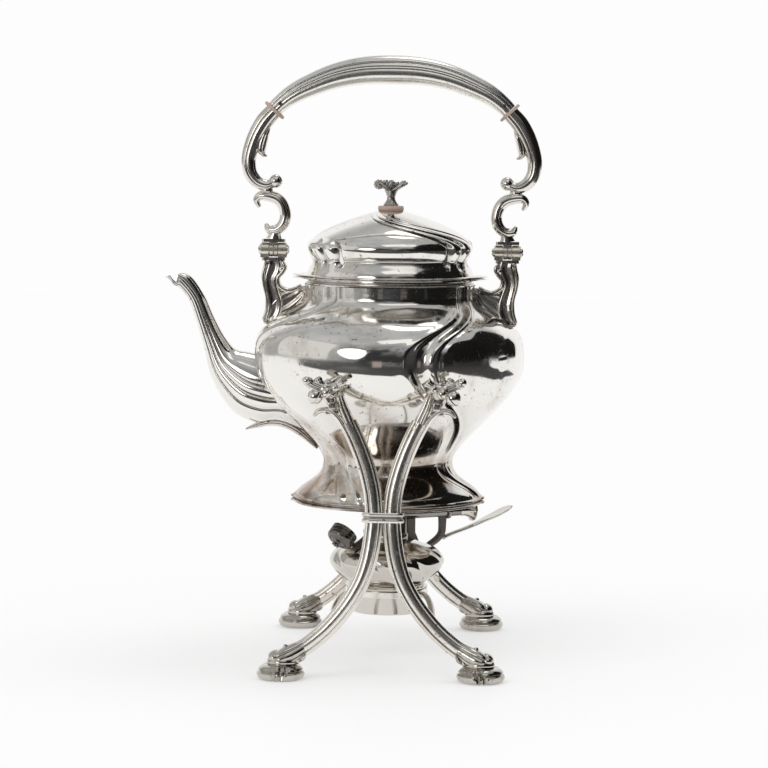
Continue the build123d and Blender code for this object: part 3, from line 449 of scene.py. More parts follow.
INSULATOR = Finish("insulating_ring", Slot.RING, (0.4, 0.3, 0.24, 1.0), (0.16, 0.09, 0.06, 1.0),
                   metallic=0.0, roughness=0.5, tarnish=0.4, tarnish_colour=(0.5, 0.37, 0.3, 1.0),
                   spots=0.1)
ARM_SILVER = Finish("arm_silver", Slot.SILVER, (0.8, 0.77, 0.72, 1.0), (0.06, 0.045, 0.037, 1.0),
                    roughness=0.12, tarnish=0.45)
FOOT_SILVER = Finish("foot_silver", Slot.SILVER, (0.6, 0.57, 0.52, 1.0), (0.02, 0.016, 0.013, 1.0),
                     roughness=0.09, tarnish=0.85, tarnish_colour=(0.16, 0.12, 0.09, 1.0))
FINIAL_SILVER = Finish("finial_silver", Slot.SILVER, (0.6, 0.58, 0.55, 1.0), (0.03, 0.027, 0.025, 1.0),
                       roughness=0.2, tarnish=0.7, tarnish_colour=(0.14, 0.12, 0.1, 1.0))
BURNER_DARK = Finish("burner_dark", Slot.BURNER, (0.32, 0.31, 0.29, 1.0), (0.02, 0.018, 0.016, 1.0),
                     roughness=0.15, tarnish=0.5, tarnish_colour=(0.08, 0.06, 0.05, 1.0))
SNUFFER_SILVER = Finish("snuffer_silver", Slot.DARK, (0.2, 0.19, 0.18, 1.0), (0.012, 0.01, 0.009, 1.0),
                        roughness=0.12, tarnish=0.7, tarnish_colour=(0.1, 0.08, 0.06, 1.0))
COTTON = Finish("cotton", Slot.WICK, (0.72, 0.68, 0.6, 1.0), (0.2, 0.16, 0.12, 1.0), metallic=0.0,
                roughness=0.9, tarnish=0.5, tarnish_colour=(0.3, 0.24, 0.18, 1.0), spots=0.2)


# ---------------------------------------------------------------- meshes
Outline = list[tuple[float, float]]
TO_FRONT = Vector((0, -1, 0))
TO_BACK = Vector((0, 1, 0))
UPWARD = Vector((0, 0, 1))
CAP_TURNS = (18, 36, 52, 66, 78, 87)


def oval(count: int = 32) -> Outline:
    """A plain round outline of radius 1.

    Args:
        count: Number of points.

    Returns:
        The points in order.
    """
    return [(math.cos(2 * math.pi * k / count), math.sin(2 * math.pi * k / count)) for k in range(count)]


def reeds(edges: Sequence[float], bulge: float = 0.4, part: int = 8, power: float = 2.2) -> Outline:
    """An outline whose front and back are divided into rounded reeds.

    Args:
        edges: Where the reeds meet, from -1 to 1 across the bar.
        bulge: How far each reed stands out of the grooves.
        part: Points to each reed.
        power: 2 is an oval envelope, more is squarer.

    Returns:
        The points in order round the bar.
    """
    front: Outline = []
    bounds = [-1.0, *edges, 1.0]
    for low, high in zip(bounds, bounds[1:]):
        middle, half = (low + high) / 2, (high - low) / 2
        for k in range(part):
            share = -math.cos(math.pi * k / part)
            across = middle + half * share
            envelope = max(0.0, 1 - abs(across) ** power) ** (1 / power)
            front.append((across, envelope * (1 - bulge + bulge * math.sqrt(max(0.0, 1 - share * share)))))
    front[0] = (-1.0, 0.0)
    return front + [(-a, -b) for a, b in front]


def dished(count: int = 48, rim: float = 0.3, sunk: float = 0.5, power: float = 4.0) -> Outline:
    """A squarish outline whose front and back are dished inside raised edges.

    Args:
        count: Points to each half.
        rim: Breadth of each raised edge, as a share of the half width.
        sunk: Depth of the dish, as a share of the half depth.
        power: Squareness of the envelope.

    Returns:
        The points in order round the bar.
    """
    front: Outline = []
    for k in range(count):
        across = -math.cos(math.pi * k / count)
        envelope = max(0.0, 1 - abs(across) ** power) ** (1 / power)
        front.append((across, envelope * (1 - sunk * ease((1 - rim * 0.5 - abs(across)) / rim))))
    front[0] = (-1.0, 0.0)
    return front + [(-a, -b) for a, b in front]


@dataclass(frozen=True)
class Station:
    """One place along a bar."""

    spot: Vector
    half_width: float
    half_depth: float


def flat_path(rows: Sequence[Point], mirror: int = 1, parts: int = 6,
              depth: Optional[float] = None) -> list[Station]:
    """Stations along (x, z, half width[, half depth]) rows in the XZ plane.

    Args:
        rows: The rows.
        mirror: 1, or -1 to turn them over to -X.
        parts: Pieces that each span is cut into.
        depth: Half depth where rows have none.

    Returns:
        The stations.
    """
    out = []
    for row in smooth_rows(rows, parts):
        half_depth = row[3] if len(row) > 3 else min(depth or row[2], 1.3 * row[2])
        out.append(Station(Vector((mirror * row[0], 0, row[1])), row[2], half_depth))
    return out


def add_object(name: str, data: bpy.types.ID) -> bpy.types.Object:
    """Add an object to the scene.

    Args:
        name: Its name.
        data: Its mesh, lamp or camera.

    Returns:
        The object.
    """
    made = bpy.data.objects.new(name, data)
    bpy.context.scene.collection.objects.link(made)
    return made


class Shape:
    """A mesh that is built with bmesh operators and then given to a body."""

    def __init__(self, name: str) -> None:
        """Start an empty mesh.

        Args:
            name: Name of the piece.
        """
        self.name = name
        self.bm = bmesh.new()

    def edges_of(self, items: Iterable[Union[bmesh.types.BMVert, bmesh.types.BMFace]]
                 ) -> list[bmesh.types.BMEdge]:
        """Edges of some vertices or faces, each once and in a settled order.

        Args:
            items: The vertices or faces.

        Returns:
            Their edges.
        """
        self.bm.edges.index_update()
        found = {e.index: e for item in items
                 for e in (item.link_edges if isinstance(item, bmesh.types.BMVert) else item.edges)}
        return [found[index] for index in sorted(found)]

    # ---- pieces of form
    def bar(self, stations: Sequence[Station], normal: Vector, outline: Outline,
            round_start: float = 0.0, round_end: float = 0.0) -> None:
        """Carry an outline along a path by extruding its edge again and again, and close both ends.

        Args:
            stations: Places along the path.
            normal: Direction of the outline's depth; the path lies across it.
            outline: Unit outline, as (across, deep).
            round_start: Length of a rounded start, 0 for a flat one.
            round_end: Length of a rounded end, 0 for a flat one.
        """
        frames = self._frames(stations, normal, round_start, round_end)
        for rim in self.carry(frames, outline):
            bmesh.ops.contextual_create(self.bm, geom=rim)

    def carry(self, frames: Sequence[Matrix], outline: Outline) -> tuple[list[bmesh.types.BMEdge], ...]:
        """Extrude the edge of an outline from frame to frame.

        Args:
            frames: The matrix of each outline.
            outline: Unit outline, as (across, deep).

        Returns:
            The open edges of the first and of the last outline.
        """
        ring = bmesh.ops.create_circle(self.bm, cap_ends=False, segments=len(outline), radius=1.0)["verts"]
        for vert, (across, deep) in zip(ring, outline):
            vert.co = frames[0] @ Vector((across, deep, 0))
        first_edges = self.edges_of(ring)
        edges = first_edges
        for before, after in zip(frames, frames[1:]):
            step = bmesh.ops.extrude_edge_only(self.bm, edges=edges)["geom"]
            verts = [g for g in step if isinstance(g, bmesh.types.BMVert)]
            fresh = set(verts)
            edges = [g for g in step if isinstance(g, bmesh.types.BMEdge)
                     and g.verts[0] in fresh and g.verts[1] in fresh]
            bmesh.ops.transform(self.bm, matrix=after @ before.inverted(), verts=verts)
        return first_edges, edges

    @staticmethod
    def _frames(stations: Sequence[Station], normal: Vector, round_start: float,
                round_end: float) -> list[Matrix]:
        """The matrix of each outline along a path.

        Args:
            stations: Places along the path.
            normal: Direction of the outline's depth.
            round_start: Length of a rounded start.
            round_end: Length of a rounded end.

        Returns:
            One matrix for each outline.
        """
        rows: list[tuple[Vector, Vector, float, float]] = []
        last = len(stations) - 1
        for k, here in enumerate(stations):
            heading = (stations[min(k + 1, last)].spot - stations[max(k - 1, 0)].spot).normalized()
            rows.append((here.spot, heading, here.half_width, here.half_depth))
        for length, at, way in ((round_start, 0, -1), (round_end, -1, 1)):
            if not length:
                continue
            spot, heading, wide, deep = rows[at]
            cap = []
            for turn in CAP_TURNS:
                angle = math.radians(turn)
                small = math.cos(angle)
                cap.append((spot + heading * way * length * math.sin(angle), heading,
                            wide * small, deep * small))
            rows = rows + cap if way > 0 else cap[::-1] + rows
        out = []
        for spot, heading, wide, deep in rows:
            across = normal.cross(heading).normalized()
            out.append(Matrix((
                (across.x * wide, normal.x * deep, heading.x, spot.x),
                (across.y * wide, normal.y * deep, heading.y, spot.y),
                (across.z * wide, normal.z * deep, heading.z, spot.z),
                (0, 0, 0, 1))))
        return out

    def turned(self, profile: Sequence[tuple[float, float]], count: int = 96,
               warp: Optional[Warp] = None, place: Optional[Matrix] = None) -> None:
        """Spin a (radius, height) profile about the Z axis.

        Args:
            profile: The profile; a radius of 0 closes it.
            count: Steps round the axis.
            warp: Moves each vertex after the spin.
            place: Moves the whole form after that.
        """
        verts = [self.bm.verts.new((max(radius, 0.0), 0, height)) for radius, height in profile]
        edges = [self.bm.edges.new(pair) for pair in zip(verts, verts[1:])]
        before = set(self.bm.verts) - set(verts)
        bmesh.ops.spin(self.bm, geom=verts + edges, axis=(0, 0, 1), cent=(0, 0, 0),
                       angle=2 * math.pi, steps=count, use_merge=True, use_duplicate=False)
        fresh = [v for v in self.bm.verts if v not in before]
        poles = [v for v in fresh if v.co.xy.length < 1e-5]
        if poles:
            bmesh.ops.remove_doubles(self.bm, verts=poles, dist=1e-4)
            fresh = [v for v in self.bm.verts if v not in before]
        if warp:
            for vert in fresh:
                vert.co = warp(vert.co)
        if place:
            bmesh.ops.transform(self.bm, matrix=place, verts=fresh)

    def block(self, place: Matrix, soft: float, segments: int, upright: bool = False) -> None:
        """A box with bevelled edges.

        Args:
            place: Places and stretches a cube of side 1.
            soft: Width of the bevels.
            segments: Steps across each bevel.
            upright: Whether only the upright edges are bevelled.
        """
        box = bmesh.ops.create_cube(self.bm, size=1.0, matrix=place)
        edges = self.edges_of(box["verts"])
        if upright:
            edges = [e for e in edges if abs(e.verts[0].co.z - e.verts[1].co.z) > 1]
        bmesh.ops.bevel(self.bm, geom=edges, offset=soft, segments=segments, profile=0.5,
                        affect="EDGES", material=-1)

    def move(self, matrix: Matrix) -> None:
        """Move all there is so far.

        Args:
            matrix: The move.
        """
        bmesh.ops.transform(self.bm, matrix=matrix, verts=self.bm.verts[:])

    def ball(self, centre: Vector, radius: float, stretch: Point = (1, 1, 1),
             fine: int = 20) -> list[bmesh.types.BMVert]:
        """A ball or an egg.

        Args:
            centre: Its middle.
            radius: Its radius.
            stretch: Scale along each axis.
            fine: Number of divisions.

        Returns:
            Its vertices.
        """
        place = Matrix.Translation(centre) @ Matrix.Diagonal((*stretch, 1))
        return bmesh.ops.create_uvsphere(self.bm, u_segments=fine, v_segments=max(8, fine // 2),
                                         radius=radius, matrix=place)["verts"]

    def copies(self, *matrices: Matrix) -> None:
        """Add turned copies of all there is so far.

        Args:
            matrices: One matrix for each copy.
        """
        geom = self.bm.verts[:] + self.bm.edges[:] + self.bm.faces[:]
        for matrix in matrices:
            copy = bmesh.ops.duplicate(self.bm, geom=geom)["geom"]
            bmesh.ops.transform(self.bm, matrix=matrix,
                                verts=[g for g in copy if isinstance(g, bmesh.types.BMVert)])
            if matrix.determinant() < 0:
                bmesh.ops.reverse_faces(self.bm, faces=[g for g in copy
                                                        if isinstance(g, bmesh.types.BMFace)])

    # ---- handing over
    def give(self, body: Body, finish: Finish, *nodes: str, sharp: float = 40.0,
             groove_scale: float = 0.35) -> bpy.types.Object:
        """Make the object, paint it and let it ride on its body.

        Args:
            body: Body that the piece moves with.
            finish: Its finish.
            nodes: CAD nodes that it stands for.
            sharp: Edges sharper than this many degrees stay crisp.
            groove_scale: Curvature, per millimetre, at which a groove is fully darkened with tarnish and
                painted shade.

        Returns:
            The object.
        """
        bmesh.ops.recalc_face_normals(self.bm, faces=self.bm.faces[:])
        for face in self.bm.faces:
            face.smooth = True
        crisp = math.radians(sharp)
        for edge in self.bm.edges:
            edge.smooth = len(edge.link_faces) != 2 or edge.calc_face_angle(0.0) < crisp
        mesh = bpy.data.meshes.new(self.name)
        self.bm.to_mesh(mesh)
        self.bm.free()
        mark_grooves(mesh, groove_scale)
        mesh.transform(Matrix.Scale(MM, 4))
        mesh.materials.append(finish.material())
        made = add_object(self.name, mesh)
        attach(made, body.value)
        if nodes:
            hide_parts(*nodes)
        LOG.info("%s: %d faces on %s for %s", self.name, len(mesh.polygons), body.value,
                 ", ".join(nodes) or "-")
        return made


GROOVE_ROUNDS = 7
GROOVE_KEPT = 0.55


def mark_grooves(mesh: bpy.types.Mesh, scale: float) -> None:
    """Store how hollow the surface is at each vertex, for the tarnish and the painted shade in hollows.

    Args:
        mesh: Mesh in millimetres.
        scale: Curvature, per millimetre, that counts as fully hollow.
    """
    count = len(mesh.vertices)
    spots = np.empty(count * 3, np.float32)
    mesh.vertices.foreach_get("co", spots)
    spots = spots.reshape(-1, 3)
    normals = np.array([v.normal[:] for v in mesh.vertices], np.float32)
    pairs = np.empty(len(mesh.edges) * 2, np.int32)
    mesh.edges.foreach_get("vertices", pairs)
    first, second = pairs.reshape(-1, 2).T
    span = spots[second] - spots[first]
    length = np.maximum(np.linalg.norm(span, axis=1), 1e-4)
    total = np.zeros(count)
    weight = np.zeros(count)
    for here, way in ((first, 1.0), (second, -1.0)):
        rise = way * np.einsum("ij,ij->i", span, normals[here]) / length
        np.add.at(total, here, rise)
        np.add.at(weight, here, length)
    hollow = np.clip(2 * total / np.maximum(weight, 1e-4) / scale, 0, 1)
    for _ in range(GROOVE_ROUNDS):
        spread = hollow.copy()
        near = np.ones(count)
        for here, there in ((first, second), (second, first)):
            np.add.at(spread, here, hollow[there])
            np.add.at(near, here, 1.0)
        hollow = np.maximum(hollow * GROOVE_KEPT, spread / near)
    made = mesh.attributes.new("groove", "FLOAT", "POINT")
    made.data.foreach_set("value", hollow.astype(np.float32))


# ---------------------------------------------------------------- the swirled panels
def spread_turns(turn: float, seams: Sequence[float], crowd: float = 0.86) -> float:
    """Crowd evenly spaced turns towards the seams.

    Args:
        turn: Even turn, from 0 to 1.
        seams: Seam directions in degrees, rising, within one turn.
        crowd: How strongly the turns are drawn to the seams.

    Returns:
        The crowded turn in degrees.
    """
    count = len(seams)
    index = int(turn * count) % count
    share = turn * count - int(turn * count)
    start = seams[index]
    end = seams[(index + 1) % count] + (360 if index + 1 == count else 0)
    return between(start, end, share - crowd * math.sin(2 * math.pi * share) / (2 * math.pi))


def nearest(turn: float, seams: Sequence[float]) -> tuple[int, float]:
    """The nearest seam and how far a turn is past it.

    Args:
        turn: Direction in degrees.
        seams: Seam directions in degrees.

    Returns:
        The seam's index and the turn past it in degrees.
    """
    gaps = [turn_gap(turn, seam) for seam in seams]
    index = min(range(len(gaps)), key=lambda k: abs(gaps[k]))
    return index, gaps[index]


def spot_round(radius: float, turn: float, height: float) -> Vector:
    """A point at a turn from the front, in degrees towards +X.

    Args:
        radius: Distance from the axis.
        turn: Degrees from -Y towards +X.
        height: Height.

    Returns:
        The point.
    """
    angle = math.radians(turn - 90)
    return Vector((radius * math.cos(angle), radius * math.sin(angle), height))


@dataclass
class BodyForm:
    """Radii and seams of the kettle's swirled body."""

    neck_radius: float = 51.8
    neck_height: float = 222.0
    girth_radius: float = 82.6
    girth_height: float = 184.0
    waist_radius: float = 39.4
    waist_height: float = 121.0
    foot_radius: float = 56.4
    foot_height: float = 99.0
    mouth_height: float = 229.4
    seams: tuple[float, ...] = (0.0, 79.0, 180.0, 259.0)
    seam_at_neck: float = 64.0
    seam_at_girth: float = 18.0
    seam_at_waist: float = 62.0
    seam_at_foot: float = 82.0
    crease: tuple = ((-3.3, -3.6, 3.6), (-0.5, 4.4, 1.1))
    ribs: tuple = ((0.9, 1.3, 1.3), (0.55, -10.4, 1.7))
    lobes: tuple = ((1.6, 20.0, 13.5), (0.3, -22.0, 8.0))
    least_strength: float = 0.35
    narrow_reach: float = 60.0

    def radius(self, height: float) -> float:
        """Radius of the smooth panels.

        Args:
            height: Height above the table.

        Returns:
            The radius.
        """
        if height >= self.neck_height:
            return self.neck_radius
        if height >= self.girth_height:
            share = (height - self.girth_height) / (self.neck_height - self.girth_height)
            return between(self.girth_radius, self.neck_radius, ease(share, 1.85))
        if height >= self.waist_height:
            share = (height - self.waist_height) / (self.girth_height - self.waist_height)
            return between(self.waist_radius, self.girth_radius, ease(share, 0.8))
        share = (self.waist_height - height) / (self.waist_height - self.foot_height)
        return between(self.waist_radius, self.foot_radius, ease(share, 1.4))

    def seam(self, height: float) -> float:
        """Direction of the first seam.

        Args:
            height: Height above the table.

        Returns:
            Degrees from the front.
        """
        if height >= self.girth_height:
            share = (height - self.girth_height) / (self.neck_height - self.girth_height)
            return between(self.seam_at_girth, self.seam_at_neck, ease(share, 1.6))
        if height >= self.waist_height:
            share = (height - self.waist_height) / (self.girth_height - self.waist_height)
            return between(self.seam_at_waist, self.seam_at_girth, ease(share))
        share = (self.waist_height - height) / (self.waist_height - self.foot_height)
        return between(self.seam_at_waist, self.seam_at_foot, ease(share))

    def strength(self, height: float) -> float:
        """How strongly the seams stand out.

        Args:
            height: Height above the table.

        Returns:
            1 at the girth, less at neck and waist.
        """
        swell = self.radius(height) - self.waist_radius
        return self.least_strength + 0.65 * swell / (self.girth_radius - self.waist_radius)

    def relief(self, past: float, height: float) -> float:
        """How far the skin stands out from the smooth panel beside a seam.

        Args:
            past: Degrees past the seam.
            height: Height above the table.

        Returns:
            Millimetres, outward.
        """
        reach = self.radius(height)
        wide = 1.0 if reach > self.narrow_reach else 1.0 + 0.5 * (self.narrow_reach - reach) / 20
        past = past / wide
        form = waves(past, self.crease) + waves(past, self.ribs) + waves(past, self.lobes)
        return form * self.strength(height)

    def skin(self, turn: float, height: float) -> Vector:
        """A point of the body's skin.

        Args:
            turn: Even turn, from 0 to 1.
            height: Height above the table.

        Returns:
            The point.
        """
        crowded = spread_turns(turn, self.seams)
        _, past = nearest(crowded, self.seams)
        reach = self.radius(height) + self.relief(past, height)
        return spot_round(reach, crowded + self.seam(height), height)


@dataclass
class Kettle:
    """Kettle body, foot, rim and spout."""

    form: BodyForm = field(default_factory=BodyForm)
    skirt_height: float = 116.9
    lining_gap: float = 4.0
    mouth_radius: float = 46.2
    rim_top: float = 234.2
    flange_radius: float = 53.2
    flange_tip: float = 60.2
    tip_spread: float = 34.0
    tips: tuple[float, float] = (90.0, -90.0)
    floor_height: float = 117.6
    foot_steps: tuple = ((56.5, 99.2), (57.7, 98.6), (58.0, 97.9), (57.4, 97.4), (56.3, 97.2), (56.2, 96.7),
                         (57.2, 96.4), (57.9, 95.8), (57.9, 95.0), (57.2, 94.7), (54.5, 94.7), (53.4, 95.6),
                         (52.0, 100.0), (44.0, 108.0), (38.0, 114.0), (36.5, 116.0), (0.0, 116.0))
    rim_steps: tuple = ((-0.2, 0.0), (0.35, 0.35), (0.4, 0.8), (-0.2, 1.15), (-1.2, 1.5), (-1.3, 2.1),
                        (-0.6, 2.6), (-0.3, 3.2))

    def build(self) -> None:
        """Make every piece of the kettle."""
        self.build_body()
        self.build_foot()
        self.build_rim()
        Spout().build()
        for side in Side:
            Socket(side=side).build()

    def _swirl(self, spot: Vector) -> Vector:
        """Turn a spun vertex into one of the swirled skin.

        Args:
            spot: The spun vertex.

        Returns:
            Its new place.
        """
        turn = (math.atan2(spot.y, spot.x) / (2 * math.pi)) % 1.0
        return self.form.skin(turn, spot.z)

    def _lining(self, spot: Vector) -> Vector:
        """Move a spun vertex inward, at its own height, to the plain inner skin.

        Args:
            spot: The spun vertex.

        Returns:
            Its new place.
        """
        reach = spot.xy.length
        return (spot * ((reach - self.lining_gap) / reach)
                + Vector((0, 0, spot.z * self.lining_gap / reach)))

    def build_body(self) -> None:
        """The panelled body, with its inner skin and floor."""
        form = self.form
        shape = Shape("kettle_body_skin")
        heights = steps(self.skirt_height, form.mouth_height, 110)
        shape.turned([(form.radius(z), z) for z in heights], 288, self._swirl)
        inner = [(form.radius(z), z) for z in steps(self.floor_height + 1.0, form.mouth_height, 24)]
        shape.turned(inner, 96, self._lining)
        floor, mouth = self.floor_height, form.mouth_height
        shape.turned([(0.0, floor), (form.radius(floor) - 1.5, floor)], 96)
        shape.turned([(form.neck_radius - self.lining_gap, mouth), (form.neck_radius - 0.3, mouth)], 96)
        shape.give(Body.KETTLE, SILVER, "kettle_body")

    def build_foot(self) -> None:
        """The flared foot with its stepped and pointed edge."""
        form = self.form
        shape = Shape("kettle_foot_skin")

        profile = [(form.radius(z), z) for z in steps(117.4, 99.6, 26)] + list(self.foot_steps)

        def warp(spot: Vector) -> Vector:
            """Wind the seams round the foot and draw out its points.

            Args:
                spot: A place on the turned form.

            Returns:
                Where it goes.
            """
            turn = (math.atan2(spot.y, spot.x) / (2 * math.pi)) % 1.0
            height = max(spot.z, form.foot_height)
            if spot.xy.length < 1e-4:
                return spot
            crowded = spread_turns(turn, form.seams)
            _, past = nearest(crowded, form.seams)
            here = crowded + form.seam(height)
            low = ease((101.5 - spot.z) / 3.0)
            points = sum(bump(turn_gap(here, tip), 5.0) for tip in self.tips)
            reach = spot.xy.length
            skin = reach > 55.9 or spot.z > 99.1
            relief = form.relief(past, height) * (1 - low) + points * 2.2 * low if skin else 0.0
            return spot_round(reach + relief, here, spot.z)

        shape.turned(profile, 288, warp)
        shape.give(Body.KETTLE, SILVER, "kettle_foot")

    def flange(self, turn: float) -> float:
        """Radius of the pointed rim plate.

        Args:
            turn: Direction in degrees from the front.

        Returns:
            The radius.
        """
        gap = min(abs(turn_gap(turn, tip)) for tip in self.tips)
        share = max(0.0, 1 - gap / self.tip_spread)
        return self.flange_radius + (self.flange_tip - self.flange_radius) * share ** 2.6

    def plate_ring(self, shape: Shape, low: float, high: float, inner: float, soft: float = 0.5) -> None:
        """A thin pointed plate round the mouth.

        Args:
            shape: Shape that it is added to.
            low: Height of its underside.
            high: Height of its top.
            inner: Radius of its hole.
            soft: How far its edge is rounded.
        """
        base = self.flange_radius
        profile = [(inner, low), (base - 1.6, low), (base - soft, low + soft * 0.3), (base, (low + high) / 2),
                   (base - soft, high - soft * 0.3), (base - 1.6, high), (inner, high), (inner, low)]

        def warp(spot: Vector) -> Vector:
            """Draw the plate out to its points.

            Args:
                spot: A place on the turned form.

            Returns:
                Where it goes.
            """
            turn = math.degrees(math.atan2(spot.x, -spot.y))
            reach = spot.xy.length
            out = max(0.0, (reach - inner) / (base - inner)) ** 2
            return spot_round(reach + (self.flange(turn) - base) * out, turn, spot.z)

        shape.turned(profile, 240, warp)

    def build_rim(self) -> None:
        """The moulded neck ring and the pointed plate on it."""
        shape = Shape("kettle_rim_ring")
        low, out = self.form.mouth_height, self.form.neck_radius
        inner = self.mouth_radius
        shape.turned([(inner, low)] + [(out + wider, low + rise) for wider, rise in self.rim_steps]
                     + [(inner, low + 3.2), (inner, low)], 160)
        self.plate_ring(shape, low + 3.2, self.rim_top - 0.05, self.mouth_radius)
        shape.give(Body.KETTLE, SILVER, "kettle_rim")


@dataclass
class Spout:
    """Cast spout with ridges along it, an open lip and a leaf under its root."""

    rows: tuple = (((-40.0, 130.5), (-30.0, 158.0), 14.0), ((-54.0, 138.4), (-40.0, 170.0), 16.5),
                   ((-68.5, 143.6), (-52.0, 179.5), 18.0), ((-82.5, 143.0), (-64.5, 184.2), 17.2),
                   ((-95.2, 148.5), (-77.5, 185.2), 15.5), ((-104.6, 160.2), (-88.2, 186.8), 12.5),
                   ((-110.9, 173.1), (-95.5, 188.6), 9.6), ((-114.1, 186.1), (-102.4, 196.9), 7.6),
                   ((-119.2, 203.4), (-108.7, 208.5), 6.0), ((-124.8, 218.9), (-114.3, 220.9), 5.4),
                   ((-133.6, 228.6), (-121.8, 231.9), 5.3), ((-139.6, 232.4), (-127.4, 235.0), 5.4))
    grooves: tuple[float, ...] = (-0.1, 0.2, 0.56)
    bore: tuple[float, float] = (0.84, 0.78)
    bore_sections: int = 39
    lip_reach: float = 9.0
    lip_dip: float = 4.6
    leaf: tuple = ((-88.4, 138.6, 0.5, 1.2), (-82.0, 141.0, 1.8, 2.6), (-74.0, 143.2, 2.6, 3.3),
                   (-64.5, 142.4, 2.8, 3.5), (-55.0, 137.6, 2.6, 3.5), (-47.5, 131.2, 1.8, 3.2),
                   (-43.9, 127.2, 0.7, 2.2))

    def stations(self, rows: Sequence[Point], parts: int = 8) -> list[Matrix]:
        """Matrices of the spout's sections.

        Args:
            rows: (x and z of the underside, x and z of the top, half breadth) rows.
            parts: Pieces that each span is cut into.

        Returns:
            One matrix for each section.
        """
        out = []
        for ux, uz, tx, tz, half in smooth_rows(rows, parts):
            chord = Vector((tx - ux, 0, tz - uz))
            along = Vector((-chord.z, 0, chord.x)).normalized()
            middle = Vector(((ux + tx) / 2, 0, (uz + tz) / 2))
            across = chord / 2
            out.append(Matrix(((across.x, 0, along.x, middle.x), (0, half, 0, 0),
                               (across.z, 0, along.z, middle.z), (0, 0, 0, 1))))
        return out

    def build(self) -> None:
        """Make the spout and its leaf."""
        flat = [(u[0], u[1], t[0], t[1], half) for u, t, half in self.rows]
        frames = self.stations(flat)
        shape = Shape("spout_skin")
        inward = Matrix.Diagonal((*self.bore, 1, 1))
        path = frames + [frames[-1] @ inward] + [f @ inward for f in frames[-2:-1 - self.bore_sections:-1]]
        _, inner_edge = shape.carry(path, reeds(self.grooves, 0.14, 13, 2.0))
        bmesh.ops.contextual_create(shape.bm, geom=inner_edge)
        lip = frames[-1]
        back = lip.inverted()
        heading = (lip.to_3x3() @ UPWARD).normalized()
        for vert in shape.bm.verts:
            local = back @ vert.co
            near = ease(1 + local.z / self.lip_reach) if local.z > -self.lip_reach else 0.0
            if near:
                dip = self.lip_dip * max(0.0, 1 - (abs(local.x) * 2.1) ** 2.0)
                vert.co -= heading * dip * near
        shape.give(Body.KETTLE, SILVER, "spout", sharp=50, groove_scale=0.3)
        leaf = Shape("spout_leaf_blade")
        leaf.bar(flat_path(self.leaf), TO_BACK, reeds((-0.2, 0.3), 0.3, 6))
        leaf.give(Body.KETTLE, SILVER, "spout_leaf")


